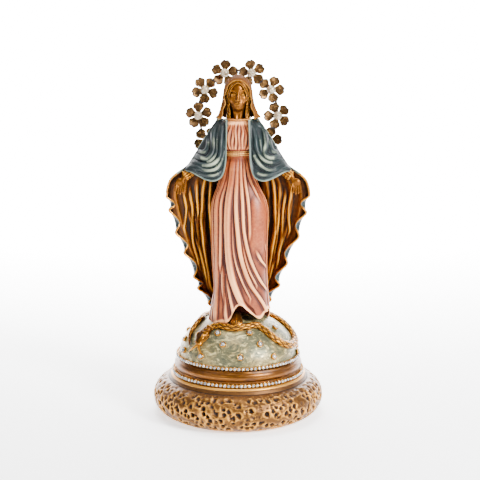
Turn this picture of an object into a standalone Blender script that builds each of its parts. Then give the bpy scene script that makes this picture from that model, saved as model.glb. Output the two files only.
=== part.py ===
"""A madonna statue on a studded globe and a rough plinth, with a halo of pearl flowers.

Frame: metres, +Z up, the figure faces -Y, the origin is the centre of the underside.
Pieces that touch on the real statue keep a small gap, CLEARANCE.
The figure is laid out in figure units: one unit is 1/159 of the figure's height, about a millimetre,
and a height in figure units is measured from FOOT_LEVEL.
"""

import math

import bmesh
import bpy
import numpy as np
from mathutils import Matrix, Vector

MM = 0.001

# Driving dimensions.
BASE_RADIUS = 55.5 * MM
PLINTH_HEIGHT = 27.0 * MM
BAND_HEIGHT = 10.0 * MM
GLOBE_RADIUS = 38.5 * MM
GLOBE_HEIGHT = 28.6 * MM
FIGURE_HEIGHT = 159.0 * MM
MANTLE_THICKNESS = 1.6 * MM
SNAKE_RADIUS = 2.2 * MM
FLOWER_RADIUS = 8.2 * MM
PETAL_CUP = 1.9 * MM
PETAL_THICKNESS = 0.6 * MM
PEARL_DIAMETER = 6.0 * MM
HALO_WIRE_DIAMETER = 1.6 * MM
HALO_HALF_WIDTH = 25.5 * MM
HALO_HALF_HEIGHT = 27.5 * MM
HALO_STANDOFF = 1.2 * MM
STUD_DIAMETER = 3.8 * MM
CHAIN_WIDTH = 2.2 * MM
PAD_THICKNESS = 1.5 * MM
CLEARANCE = 0.3 * MM

# Heights and sizes that follow from them.
UNIT = FIGURE_HEIGHT / 159.0
GLOBE_LEVEL = PLINTH_HEIGHT + CLEARANCE + BAND_HEIGHT + CLEARANCE
FOOT_LEVEL = GLOBE_LEVEL + GLOBE_HEIGHT - 5.6 * MM
STEP_RADIUS = 0.795 * BASE_RADIUS
BAND_RADIUS = 0.75 * BASE_RADIUS

# Heights on the figure, in figure units.
HEM = -10.0
NECKLINE = 129.5
BELT = 109.5
HALO_CENTRE = 133.4

# Angles along the halo's arch, in degrees from its top.
HALO_END_ANGLE = 152.0
FLOWER_START = 19.5
FLOWER_PITCH = 36.5

LEFT, RIGHT = -1, 1
SIDE_NAMES = {LEFT: "left", RIGHT: "right"}


# ---------------------------------------------------------------- scene and materials


def clear_scene():
    for old in list(bpy.data.objects):
        bpy.data.objects.remove(old, do_unlink=True)


def new_collection(name, hidden=False):
    collection = bpy.data.collections.new(name)
    collection.hide_render = hidden
    bpy.context.scene.collection.children.link(collection)
    return collection


clear_scene()
STATUE = new_collection("madonna_statue")
CUTTERS = new_collection("cutters", hidden=True)


def paint(name, colour, roughness, metallic=0.0):
    material = bpy.data.materials.new(name)
    material.use_nodes = True
    shader = material.node_tree.nodes["Principled BSDF"]
    shader.inputs["Base Color"].default_value = (*colour, 1.0)
    shader.inputs["Roughness"].default_value = roughness
    shader.inputs["Metallic"].default_value = metallic
    return material


FELT = paint("felt", (0.05, 0.04, 0.035), 0.95)
PLINTH_GOLD = paint("plinth_gold", (0.42, 0.25, 0.09), 0.5, 0.6)
BAND_GOLD = paint("band_gold", (0.38, 0.18, 0.05), 0.4, 0.7)
CHAIN_GOLD = paint("chain_gold", (0.75, 0.62, 0.30), 0.25, 0.9)
GLOBE_PEARL = paint("globe_pearl", (0.46, 0.50, 0.44), 0.3, 0.2)
SNAKE_GOLD = paint("snake_gold", (0.40, 0.20, 0.06), 0.4, 0.7)
FIGURE_GOLD = paint("figure_gold", (0.52, 0.29, 0.08), 0.35, 0.8)
HAIR_GOLD = paint("hair_gold", (0.36, 0.19, 0.05), 0.45, 0.7)
VEIL_GOLD = paint("veil_gold", (0.55, 0.36, 0.18), 0.5, 0.3)
TUNIC_PINK = paint("tunic_pink", (0.66, 0.30, 0.22), 0.35)
TRIM_GOLD = paint("trim_gold", (0.72, 0.50, 0.26), 0.4, 0.5)
MANTLE_BLUE = paint("mantle_blue", (0.09, 0.17, 0.20), 0.45)
HALO_BRONZE = paint("halo_bronze", (0.26, 0.14, 0.07), 0.45, 0.8)
PEARL = paint("pearl", (0.80, 0.74, 0.62), 0.2)
STUD_GOLD = paint("stud_gold", (0.80, 0.60, 0.20), 0.2, 0.9)


# ---------------------------------------------------------------- shape helpers


def smooth_through(*points):
    """A smooth function through (place, value) points, level beyond its two ends."""
    places = np.array([point[0] for point in points], float)
    values = np.array([point[1] for point in points], float)
    slopes = np.gradient(values, places)

    def value_at(place):
        place = min(max(place, places[0]), places[-1])
        i = min(int(np.searchsorted(places, place, side="right")) - 1, len(places) - 2)
        width = places[i + 1] - places[i]
        t = (place - places[i]) / width
        start = values[i] * (1 + 2 * t) * (1 - t) ** 2 + slopes[i] * width * t * (1 - t) ** 2
        end = values[i + 1] * t * t * (3 - 2 * t) - slopes[i + 1] * width * t * t * (1 - t)
        return float(start + end)

    return value_at


def figure_point(x, y, height):
    return Vector((x * UNIT, y * UNIT, FOOT_LEVEL + height * UNIT))


def curve_through(*points):
    """A smooth function from 0..1 to points along a route given in figure units."""
    steps = np.linspace(0, 1, len(points))
    along = [smooth_through(*zip(steps, axis)) for axis in zip(*points)]
    return lambda t: Vector([axis(t) for axis in along])


def ramp(value, low, high):
    t = min(max((value - low) / (high - low), 0.0), 1.0)
    return t * t * (3 - 2 * t)


def add_object(name, mesh, material, collection=None):
    obj = bpy.data.objects.new(name, mesh)
    (collection or STATUE).objects.link(obj)
    if material:
        mesh.materials.append(material)
    if collection is CUTTERS:
        obj.hide_render = True
        obj.display_type = "WIRE"
    return obj


def from_bmesh(name, shape, material, collection=None, sharp=40.0):
    bmesh.ops.recalc_face_normals(shape, faces=shape.faces)
    mesh = bpy.data.meshes.new(name)
    shape.to_mesh(mesh)
    shape.free()
    mesh.shade_smooth()
    mesh.set_sharp_from_angle(angle=math.radians(sharp))
    return add_object(name, mesh, material, collection)


def add_grid(shape, rows, wrap):
    """Quads between rows of points; wrap joins each row's last point to its first."""
    verts = [[shape.verts.new(point) for point in row] for row in rows]
    for lower, upper in zip(verts, verts[1:]):
        count = len(lower)
        for i in range(count if wrap else count - 1):
            j = (i + 1) % count
            shape.faces.new((lower[i], lower[j], upper[j], upper[i]))
    return verts


def loft(name, rings, material, collection=None):
    """A closed body through rings of points, with a fan of faces over each end."""
    shape = bmesh.new()
    verts = add_grid(shape, rings, wrap=True)
    for ring in (verts[0], verts[-1]):
        middle = sum((vert.co for vert in ring), Vector()) / len(ring)
        hub = shape.verts.new(middle)
        for i, vert in enumerate(ring):
            shape.faces.new((vert, ring[(i + 1) % len(ring)], hub))
    return from_bmesh(name, shape, material, collection)


def sheet(name, rows, material, thickness):
    """An open surface through rows of points, made a shell of even thickness."""
    shape = bmesh.new()
    add_grid(shape, rows, wrap=False)
    obj = from_bmesh(name, shape, material)
    solidify = obj.modifiers.new("thickness", "SOLIDIFY")
    solidify.thickness = thickness
    solidify.offset = 0.0
    return obj


def hoop(name, sections, material, closed):
    """A closed body swept through sections: a full ring, or a band with two flat ends."""
    shape = bmesh.new()
    rows = list(sections) + ([sections[0]] if closed else [])
    verts = add_grid(shape, rows, wrap=True)
    if closed:
        bmesh.ops.remove_doubles(shape, verts=shape.verts, dist=1e-7)
    else:
        shape.faces.new(verts[0])
        shape.faces.new(verts[-1])
    return from_bmesh(name, shape, material)


def turned(name, profile, material, steps=40, collection=None):
    """A body of revolution; its profile, at +X, runs from the top down to the axis or underside."""
    mesh = bpy.data.meshes.new(name)
    points = [(radius, 0.0, height) for radius, height in profile]
    mesh.from_pydata(points, [(i, i + 1) for i in range(len(points) - 1)], [])
    obj = add_object(name, mesh, material, collection)
    screw = obj.modifiers.new("turn", "SCREW")
    screw.steps = screw.render_steps = steps
    screw.use_merge_vertices = True
    screw.merge_threshold = 1e-5
    return obj


def tube(name, points, radius, material, thickness=None, collection=None):
    """A wire of round section along points, as a mesh; thickness scales the radius at each point."""
    data = bpy.data.curves.new(name, "CURVE")
    data.dimensions = "3D"
    data.bevel_depth = radius
    data.bevel_resolution = 2
    data.use_fill_caps = True
    spline = data.splines.new("POLY")
    spline.points.add(len(points) - 1)
    for i, point in enumerate(points):
        spline.points[i].co = (*point, 1.0)
        spline.points[i].radius = thickness[i] if thickness else 1.0
    guide = bpy.data.objects.new(name + "_guide", data)
    CUTTERS.objects.link(guide)
    graph = bpy.context.evaluated_depsgraph_get()
    mesh = bpy.data.meshes.new_from_object(guide.evaluated_get(graph))
    bpy.data.objects.remove(guide)
    shape = bmesh.new()
    shape.from_mesh(mesh)
    bmesh.ops.remove_doubles(shape, verts=shape.verts, dist=1e-6)
    return from_bmesh(name, shape, material, collection)


def cut(obj, cutter):
    boolean = obj.modifiers.new("less " + cutter.name, "BOOLEAN")
    boolean.operation = "DIFFERENCE"
    boolean.solver = "EXACT"
    boolean.object = cutter


def settle(obj):
    """Replaces a cut piece by its finished mesh and keeps only its largest body."""
    graph = bpy.context.evaluated_depsgraph_get()
    mesh = bpy.data.meshes.new_from_object(obj.evaluated_get(graph))
    obj.modifiers.clear()
    obj.data = mesh
    shape = bmesh.new()
    shape.from_mesh(mesh)
    bodies = []
    waiting = set(shape.faces)
    while waiting:
        body = {waiting.pop()}
        front = list(body)
        while front:
            face = front.pop()
            near = {other for edge in face.edges for other in edge.link_faces} & waiting
            waiting -= near
            body |= near
            front.extend(near)
        bodies.append(body)
    bodies.sort(key=len)
    for body in bodies[:-1]:
        bmesh.ops.delete(shape, geom=list(body), context="FACES")
    shape.to_mesh(mesh)
    shape.free()


def arc(centre, radius, start, end, count):
    """Points along a round stretch of a turned profile; angles in degrees, 0 outward, 90 up."""
    angles = np.radians(np.linspace(start, end, count))
    return [(centre[0] + radius * math.cos(a), centre[1] + radius * math.sin(a)) for a in angles]


# ---------------------------------------------------------------- base


def make_base_pad():
    outer = 0.8 * BASE_RADIUS
    turned("base_pad", [(0, PAD_THICKNESS), (outer, PAD_THICKNESS), (outer, 0), (0, 0)], FELT)


def make_plinth():
    """A fat rounded ring with a step on top, and a shallow recess beneath for the felt pad."""
    roll = 11.5 * MM
    widest = (BASE_RADIUS - roll, 12.0 * MM)
    recess = 0.8 * BASE_RADIUS + CLEARANCE
    top_of_pad = PAD_THICKNESS + CLEARANCE
    profile = [(0, PLINTH_HEIGHT), (STEP_RADIUS - 1 * MM, PLINTH_HEIGHT)]
    profile += [(STEP_RADIUS, PLINTH_HEIGHT - 1 * MM), (STEP_RADIUS, 22.5 * MM)]
    profile += arc(widest, roll, 75, -60, 8)
    profile += [(0.83 * BASE_RADIUS, 0), (recess, 0), (recess, top_of_pad), (0, top_of_pad)]
    turned("plinth", profile, PLINTH_GOLD)


def make_base_band():
    """The smooth bulging band between the plinth and the globe, with a channel for the lower chain."""
    low = PLINTH_HEIGHT + CLEARANCE
    top = low + BAND_HEIGHT
    channel = BAND_RADIUS - 0.6 * MM
    profile = [(0, top), (BAND_RADIUS - 2.2 * MM, top), (BAND_RADIUS - 1.6 * MM, top - 0.8 * MM)]
    profile += arc((BAND_RADIUS - 4 * MM, low + 0.58 * BAND_HEIGHT), 4 * MM, 50, -45, 6)
    profile += [(channel, low + CHAIN_WIDTH), (channel, low), (0, low)]
    turned("base_band", profile, BAND_GOLD)


def make_chain(name, radius, level):
    """A cup chain of small stones, kept as one ring of the chain's outer shape."""
    height = CHAIN_WIDTH
    middle = radius + CHAIN_WIDTH / 2
    outline = [(-0.5, 0.5), (0.25, 0.5), (0.5, 0.25), (0.5, -0.25), (0.25, -0.5), (-0.5, -0.5)]
    sections = []
    for angle in np.arange(48) * math.tau / 48:
        ring = []
        for out, up in outline:
            reach = middle + out * CHAIN_WIDTH
            z = level + height / 2 + up * height
            ring.append((reach * math.cos(angle), reach * math.sin(angle), z))
        sections.append(ring)
    hoop(name, sections, CHAIN_GOLD, closed=True)


def globe_profile(grow=0.0, drop=0.0):
    angles = np.radians(np.linspace(90, 0, 10))
    radius = GLOBE_RADIUS + grow
    height = GLOBE_HEIGHT + grow
    dome = [(radius * math.cos(a), GLOBE_LEVEL + height * math.sin(a)) for a in angles]
    dome[0] = (0, dome[0][1])
    return dome + [(radius, GLOBE_LEVEL - drop), (0, GLOBE_LEVEL - drop)]


def make_globe():
    profile = globe_profile()
    del profile[-2]
    return turned("globe", profile, GLOBE_PEARL)


def globe_place(azimuth, reach, lift=0.0):
    """A point over the globe: azimuth in degrees from the front toward +X, reach as a share of its radius."""
    angle = math.radians(azimuth)
    out = reach * GLOBE_RADIUS
    height = GLOBE_HEIGHT * math.sqrt(max(0.0, 1 - reach * reach))
    slope = Vector((reach / GLOBE_RADIUS, height / GLOBE_HEIGHT**2)).normalized()
    out += slope.x * lift
    height += slope.y * lift
    return Vector((out * math.sin(angle), -out * math.cos(angle), GLOBE_LEVEL + height))


def make_stud(name, azimuth, reach):
    """A small gold cup with its stone, standing square on the globe."""
    base = globe_place(azimuth, reach, CLEARANCE)
    normal = (globe_place(azimuth, reach, 1 * MM) - globe_place(azimuth, reach)).normalized()
    half = STUD_DIAMETER / 2
    cup = [(0.8 * half, 0.0), (half, 0.7 * half), (0.45 * half, 1.25 * half)]
    turn = normal.to_track_quat("Z", "Y").to_matrix()
    sunk = turn @ Vector((0, 0, 0.1 * MM))
    rings = []
    for radius, up in cup:
        ring = [Vector((radius * math.cos(a), radius * math.sin(a), up)) for a in np.arange(7) * math.tau / 7]
        rings.append([base + sunk + turn @ point for point in ring])
    loft(name, rings, STUD_GOLD)


STUD_PLACES = (
    (-27, 0.71), (15, 0.70), (62, 0.69), (-16, 0.86), (24, 0.86), (-38, 0.97),
    (2, 0.955), (36, 0.968), (-77, 0.90), (-66, 0.965), (95, 0.975), (82, 0.985),
    (128, 0.93), (152, 0.85), (176, 0.94), (-156, 0.86), (-132, 0.94), (-108, 0.88),
)


# ---------------------------------------------------------------- snake and foot

SNAKE_ROUTE = (
    (-44, 0.90), (-44, 0.80), (-43, 0.69), (-36, 0.60), (-24, 0.59), (-12, 0.61), (0, 0.612), (14, 0.59),
    (26, 0.57), (34, 0.61), (39, 0.69), (43, 0.79), (49, 0.872), (59, 0.925), (73, 0.945), (87, 0.935),
    (97, 0.89), (104, 0.805), (111, 0.72), (122, 0.655), (140, 0.63), (160, 0.63), (180, 0.63), (-160, 0.63),
    (-140, 0.63), (-120, 0.62), (-104, 0.60), (-92, 0.60), (-84, 0.65), (-76, 0.745), (-69, 0.83), (-62, 0.89),
    (-56, 0.93),
)


def snake_points(count=58):
    """The snake's middle line over the globe, from its head at the left front round to its tail."""
    azimuths = np.degrees(np.unwrap(np.radians([place[0] for place in SNAKE_ROUTE])))
    steps = np.linspace(0, 1, len(SNAKE_ROUTE))
    azimuth_at = smooth_through(*zip(steps, azimuths))
    reach_at = smooth_through(*zip(steps, [place[1] for place in SNAKE_ROUTE]))
    lift = 0.5 * SNAKE_RADIUS
    return [globe_place(azimuth_at(t), reach_at(t), lift) for t in np.linspace(0, 1, count)]


SNAKE_GIRTH = smooth_through((0, 0.55), (0.02, 1.25), (0.05, 1.4), (0.09, 0.95), (0.2, 1.0), (0.75, 0.95), (1, 0.3))


def make_snake(name, grow, material, collection=None):
    points = snake_points()
    girth = [SNAKE_GIRTH(t) + grow / SNAKE_RADIUS for t in np.linspace(0, 1, len(points))]
    return tube(name, points, SNAKE_RADIUS, material, girth, collection)


SNAKE_UNDER_TOES = (-2.0, 0.55)
FOOT_HALF = curve_through((2.6, 0, 3.4), (3.1, 0, 3.6), (3.9, 0, 3.0), (3.0, 0, 2.2))


def make_foot(name, grow, material, collection=None):
    """The front half of the foot, pointing forward out of the hem and resting on the snake."""
    heel = figure_point(-1.0, -11.0, 7.0)
    toes = globe_place(*SNAKE_UNDER_TOES, 1.9 * SNAKE_RADIUS)
    rings = []
    for t in np.linspace(0, 1, 8):
        middle = heel.lerp(toes, t)
        middle.y += grow * (1 - 2 * t)
        half = FOOT_HALF(t) * UNIT + Vector((grow, 0, grow))
        turn = np.arange(12) * math.tau / 12
        rings.append([middle + Vector((half.x * math.cos(a), 0, half.z * math.sin(a))) for a in turn])
    return loft(name, rings, material, collection)


# ---------------------------------------------------------------- tunic, belt and collar

TUNIC_FRONT = smooth_through(
    (HEM, 21), (6, 20), (20, 18.2), (39, 16.5), (59, 15), (79, 12.8), (94, 10.8), (109, 9), (119, 9.8), (NECKLINE, 6)
)
TUNIC_SIDE = {
    LEFT: smooth_through(
        (HEM, 20), (4, 18.5), (21, 15.5), (40, 16.4), (60, 17), (79, 16.2), (88, 13), (94, 11), (109, 8.6),
        (119, 10.4), (126, 9), (NECKLINE, 6.6),
    ),
    RIGHT: smooth_through(
        (HEM, 22), (4, 21), (21, 19.2), (40, 18.5), (60, 18.8), (79, 18), (88, 13.5), (94, 11), (109, 8.6),
        (119, 10.4), (126, 9), (NECKLINE, 6.6),
    ),
}
TUNIC_WAY = -3.0
TUNIC_SIDES = 36
HEM_RISE = smooth_through(
    (-180, 0), (-85, 3), (-55, 10), (-35, 12.5), (-16, 14.5), (-5, 22), (6, 24), (13, 21.5), (24, 18), (42, 14.7),
    (58, 18.5), (68, 20.4), (78, 19.5), (92, 14), (115, 4), (180, 0)
)
PLEATS = smooth_through((HEM, 0.9), (40, 0.8), (90, 0.55), (104, 0.1), (114, 0.1), (120, 0.45), (NECKLINE, 0.2))


def tunic_point(angle, height, outset=0.0):
    """A point on the gown; angle is 0 at the front and grows toward +X, outset is in metres."""
    side = RIGHT if math.sin(angle) >= 0 else LEFT
    extra = outset / UNIT
    fold = PLEATS(height) * math.cos(11 * angle + 0.02 * height) * ramp(math.cos(angle), -0.2, 0.4)
    x = side * (TUNIC_SIDE[side](height) + fold + extra) * abs(math.sin(angle)) ** 0.95
    if math.cos(angle) >= 0:
        depth = -(TUNIC_FRONT(height) + TUNIC_WAY + fold + extra)
    else:
        depth = SPINE(height) - (MANTLE_THICKNESS / 2 + CLEARANCE) / UNIT - TUNIC_WAY + extra
    y = TUNIC_WAY + depth * abs(math.cos(angle)) ** 0.95
    return figure_point(x, y, height)


def make_tunic(name, material):
    angles = np.arange(TUNIC_SIDES) * math.tau / TUNIC_SIDES
    shares = np.linspace(0, 1, 20)
    rings = []
    for share in shares:
        ring = []
        for angle in angles:
            turn = math.degrees(math.atan2(math.sin(angle), math.cos(angle)))
            low = HEM + HEM_RISE(turn)
            ring.append(tunic_point(angle, low + share * (NECKLINE - low)))
        rings.append(ring)
    return loft(name, rings, material)


def make_belt():
    """A narrow band over the front of the waist; its two ends are under the mantle."""
    half_width = 1.7
    snug = CLEARANCE + 0.2 * MM
    thickness = 0.7 * MM
    sections = []
    for angle in np.arange(-11, 12) * math.tau / TUNIC_SIDES:
        inner = [tunic_point(angle, BELT + up, snug) for up in (-half_width, half_width)]
        outer = [tunic_point(angle, BELT + up, snug + thickness) for up in (half_width, -half_width)]
        sections.append(inner + outer)
    hoop("belt", sections, TRIM_GOLD, closed=False)


def make_collar():
    """The gold edging of the neckline: a ring round the foot of the neck."""
    low = NECKLINE + CLEARANCE / UNIT
    sections = []
    for angle in np.arange(28) * math.tau / 28:
        section = []
        for out, height in ((0.3, low), (1.7, low), (1.5, low + 1.2), (0.3, low + 1.4)):
            section.append(head_point(angle, HEAD_BASE, out * UNIT, height))
        sections.append(section)
    hoop("collar", sections, TRIM_GOLD, closed=True)


# ---------------------------------------------------------------- head, hair and veil

HEAD_BASE = NECKLINE + CLEARANCE / UNIT
HEAD_SIDE = smooth_through(
    (HEAD_BASE, 4.3), (133, 3.8), (136.5, 4.0), (139, 5.0), (142, 5.9), (147, 6.4), (151, 6.1), (154, 5.0),
    (156, 3.3), (157.2, 1.0),
)
HEAD_FRONT = smooth_through(
    (HEAD_BASE, 4.0), (133, 3.9), (136.5, 6.4), (139, 8.2), (142, 8.7), (147, 9.0), (151, 8.6), (154, 7.0),
    (156, 4.6), (157.2, 1.5),
)
HEAD_BACK = smooth_through(
    (HEAD_BASE, 3.4), (133, 3.2), (137, 3.8), (142, 5.8), (147, 6.8), (151, 6.4), (154, 5.2), (156, 3.4), (157.2, 1.2)
)
HAIR_SIDE = smooth_through((132, 7.6), (138, 7.6), (144, 8.0), (149, 7.9), (153, 6.7), (156, 4.6), (158, 1.2))
HAIR_FRONT = smooth_through((132, 5.0), (138, 6.6), (144, 9.3), (149, 9.9), (153, 8.9), (156, 6.2), (158, 1.5))
HAIR_BACK = smooth_through((132, 7.4), (138, 7.6), (144, 8.2), (149, 8.0), (153, 6.6), (156, 4.4), (158, 1.2))
VEIL_SIDE = smooth_through(
    (132, 13.4), (134, 12.2), (139, 10.3), (145, 9.5), (149, 9.1), (153, 8.0), (156.4, 5.8), (159, 1.2)
)
VEIL_FRONT = smooth_through((132, 6.5), (139, 8.2), (145, 9.8), (149, 10.7), (153, 10.2), (156.4, 7.6), (159, 1.5))
VEIL_BACK = smooth_through((132, 9.4), (139, 9.3), (145, 9.4), (149, 9.2), (153, 8.0), (156.4, 5.6), (159, 1.2))


def oval_point(angle, height, side, front, back, outset=0.0):
    extra = outset / UNIT
    depth = -(front(height) + extra) if math.cos(angle) >= 0 else back(height) + extra
    return figure_point((side(height) + extra) * math.sin(angle), depth * abs(math.cos(angle)), height)


def head_point(angle, section, outset, height):
    """A point beside the head at one height, outside the outline that it has at another."""
    point = oval_point(angle, section, HEAD_SIDE, HEAD_FRONT, HEAD_BACK, outset)
    point.z = FOOT_LEVEL + height * UNIT
    return point


def make_bell(name, heights, side, front, back, material, grow=0.0, collection=None, count=22):
    """A closed body with an oval section that changes with height; grow moves its whole skin out."""
    middle = (heights[0] + heights[-1]) / 2
    angles = np.arange(count) * math.tau / count
    rings = []
    for height in heights:
        ring = [oval_point(angle, height, side, front, back, grow) for angle in angles]
        lift = grow if height > middle else -grow
        rings.append([point + Vector((0, 0, lift)) for point in ring])
    return loft(name, rings, material, collection)


def make_face_opening(name, half_width, low_half_width, top):
    """A cutter with an arched top that clears the face out of the hair or the veil."""
    bottom = 126.0
    spring = top - half_width
    outline = [(-low_half_width, bottom)]
    for angle in np.radians(np.linspace(180, 0, 13)):
        outline.append((half_width * math.cos(angle), spring + half_width * math.sin(angle)))
    outline.append((low_half_width, bottom))
    rings = [[figure_point(x, y, height) for x, height in outline] for y in (-30.0, -1.0)]
    return loft(name, rings, None, CUTTERS)


HEAD_HEIGHTS = [HEAD_BASE, 131.5, 133.5, 135.5, 137.5, 140, 143, 146.5, 150, 153, 155.2, 157]
HAIR_HEIGHTS = [132, 135, 138, 141, 144, 147, 150, 153, 155.4, 157, 158]
VEIL_HEIGHTS = [132, 134, 137, 141, 145, 149, 152.4, 155.2, 157.4, 159]


def make_head_group():
    """The head, the hair round it and the veil over both, each cleared for the piece inside it."""
    make_bell("head", HEAD_HEIGHTS, HEAD_SIDE, HEAD_FRONT, HEAD_BACK, FIGURE_GOLD)
    around_head = make_bell(
        "around_head", HEAD_HEIGHTS, HEAD_SIDE, HEAD_FRONT, HEAD_BACK, None, CLEARANCE, CUTTERS
    )
    around_hair = make_bell("around_hair", HAIR_HEIGHTS, HAIR_SIDE, HAIR_FRONT, HAIR_BACK, None, CLEARANCE, CUTTERS)
    hair = make_bell("hair", HAIR_HEIGHTS, HAIR_SIDE, HAIR_FRONT, HAIR_BACK, HAIR_GOLD)
    cut(hair, around_head)
    cut(hair, make_face_opening("hair_opening", 5.6, 4.8, 153.4))
    settle(hair)
    veil = make_bell("veil", VEIL_HEIGHTS, VEIL_SIDE, VEIL_FRONT, VEIL_BACK, VEIL_GOLD)
    cut(veil, around_hair)
    cut(veil, make_face_opening("veil_opening", 7.2, 9.6, 155.6))
    settle(veil)


# ---------------------------------------------------------------- mantle

SPINE = smooth_through(
    (HEM, 14.5), (9, 15.5), (29, 16.5), (49, 16.5), (69, 15.5), (89, 13.5), (109, 11), (119, 10), (131, 7.5)
)
WING_WIDTH = smooth_through(
    (HEM, 12), (0, 13.5), (9, 17), (20, 23.2), (30, 26.5), (40, 30), (50, 34.2), (62, 38.2), (73, 42), (82, 45.2),
    (88, 45), (93.6, 42.8), (97, 39.5), (99.8, 36.8), (104, 32.8), (110.6, 27.3), (120, 20.9), (131, 13.8),
)
WING_EDGE = smooth_through(
    (HEM, 15), (0, 14.6), (9, 13.2), (20, 9.5), (30, 7), (50, 4), (70, 1), (80, -1), (87, -2), (95, -2), (100, -1),
    (110, 1), (120, 2), (131, 3.5),
)
RIPPLE = smooth_through((HEM, 0.6), (20, 1.0), (60, 1.2), (85, 0.6), (100, 0.15), (131, 0.0))
EDGE_TUCKS = 14.2
EDGE_TUCK_TOP = 88.0


def mantle_point(share, height):
    """A point on the middle of the back panel; share runs from -1 to 1 across it, 0 on the spine."""
    reach = abs(share)
    side = RIGHT if share >= 0 else LEFT
    spine = SPINE(height)
    y = WING_EDGE(height) + (spine - WING_EDGE(height)) * (1 - reach**2.2)
    y += RIPPLE(height) * ramp(reach, 0.35, 0.6) * math.sin(9.5 * math.pi * reach)
    tuck = ramp(reach, 0.84, 1.0) * ramp(EDGE_TUCK_TOP - height, 0, 8) * ramp(height, 10, 40)
    phase = math.tau * (height - 73.0) / EDGE_TUCKS
    x = side * (reach * WING_WIDTH(height) + 1.6 * tuck * math.cos(phase))
    y -= 1.8 * tuck * (1 - math.cos(phase))
    return figure_point(x, y, height)


def make_mantle_back(name):
    heights = np.concatenate([np.linspace(-4, 36, 6)[:-1], np.linspace(36, 92, 14)[:-1], np.linspace(92, 130.6, 7)])
    shares = np.concatenate([np.linspace(-1, -0.8, 3)[:-1], np.linspace(-0.8, 0.8, 15), np.linspace(0.8, 1, 3)[1:]])
    rows = [[mantle_point(share, height) for share in shares] for height in heights]
    return sheet(name, rows, MANTLE_BLUE, MANTLE_THICKNESS)


CREST = curve_through(
    (8.2, -0.2, 130.4), (14.0, -0.6, 128.6), (20.4, -1.4, 119.4), (26.8, -2.2, 110.0), (32.4, -3.2, 103.2),
    (36.6, -4.6, 98.6),
)
FRONT_HEM = curve_through(
    (6.9, -8.6, 130.6), (7.0, -10.6, 120.0), (7.3, -11.8, 110.0), (8.0, -13.0, 101.5), (10.2, -14.4, 95.4),
    (14.6, -15.2, 92.8), (20.6, -14.6, 93.8), (27.0, -12.6, 96.8), (32.6, -9.6, 98.4), (36.4, -6.6, 97.6),
)


def mantle_front_point(side, along, down):
    """A point on a front panel: along runs from the neck to the wrist, down from the arm to the hem."""
    top = CREST(along)
    low = FRONT_HEM(along)
    point = top.lerp(low, down)
    belly = 4 * down * (1 - down) * (1.2 + 3.2 * math.sin(math.pi * along))
    swag = 0.55 * math.sin(6.5 * math.pi * down) * math.sin(math.pi * along) ** 0.7
    point += Vector((0.25, -1.0, 0.3)) * belly + Vector((0.0, -1.0, 0.3)) * swag
    return figure_point(side * point.x, point.y, point.z)


def make_mantle_front(side):
    name = "mantle_front_" + SIDE_NAMES[side]
    rows = []
    for down in np.linspace(0, 1, 9):
        rows.append([mantle_front_point(side, along, down) for along in np.linspace(0, 1, 13)])
    sheet(name, rows, MANTLE_BLUE, MANTLE_THICKNESS)


# ---------------------------------------------------------------- sleeves and hands

SLEEVE_MIDDLE = curve_through((7.0, -1.8, 119.0), (17.0, -2.6, 109.4), (26.0, -4.0, 100.8), (33.6, -6.4, 95.2))
SLEEVE_HALF = smooth_through((0, 3.4), (0.4, 3.2), (0.8, 2.5), (1, 2.3))
HAND_MIDDLE = curve_through((33.9, -7.2, 94.7), (35.6, -8.2, 92.0), (37.0, -9.2, 88.8), (37.8, -10.0, 85.6), (38.1, -10.4, 83.6))
HAND_WIDE = smooth_through((0, 1.7), (0.35, 2.5), (0.7, 2.3), (1, 1.2))
HAND_DEEP = smooth_through((0, 1.5), (0.35, 1.3), (0.7, 1.0), (1, 0.55))


def sweep(name, route, wide, deep, count, sides, side, material):
    """A body along a route with an oval section, wide across X and deep across the other way."""
    rings = []
    for t in np.linspace(0, 1, count):
        middle = route(t)
        way = (route(min(1, t + 0.02)) - route(max(0, t - 0.02))).normalized()
        across = way.cross(Vector((0, 1, 0))).normalized()
        over = across.cross(way).normalized()
        ring = []
        for angle in np.arange(sides) * math.tau / sides:
            point = middle + across * wide(t) * math.cos(angle) + over * deep(t) * math.sin(angle)
            ring.append(figure_point(side * point.x, point.y, point.z))
        rings.append(ring)
    return loft(name, rings, material)


def make_arm(side, around_tunic):
    sleeve = sweep(
        "sleeve_" + SIDE_NAMES[side], SLEEVE_MIDDLE, SLEEVE_HALF, SLEEVE_HALF, 8, 12, side, TRIM_GOLD
    )
    cut(sleeve, around_tunic)
    settle(sleeve)
    sweep("hand_" + SIDE_NAMES[side], HAND_MIDDLE, HAND_WIDE, HAND_DEEP, 7, 10, side, FIGURE_GOLD)


def make_tunic_cutter():
    """The upper gown grown by the clearance, for the sleeves to be trimmed against."""
    rings = []
    for height in np.linspace(100, 128, 9):
        ring = [tunic_point(angle, height, CLEARANCE) for angle in np.arange(TUNIC_SIDES) * math.tau / TUNIC_SIDES]
        rings.append(ring)
    return loft("around_tunic", rings, None, CUTTERS)


# ---------------------------------------------------------------- halo


def halo_point(angle, y=0.0):
    """A point on the halo's arch; angle in degrees from the top toward +X."""
    turn = math.radians(angle)
    centre = figure_point(0, 0, HALO_CENTRE)
    return Vector((HALO_HALF_WIDTH * math.sin(turn), y, centre.z + HALO_HALF_HEIGHT * math.cos(turn)))


def mantle_skin(x, z):
    """How far back the back panel's outer skin lies behind a point seen from the front, in metres."""
    height = (z - FOOT_LEVEL) / UNIT
    share = x / UNIT / WING_WIDTH(height)
    return mantle_point(share, height).y + MANTLE_THICKNESS / 2


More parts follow.
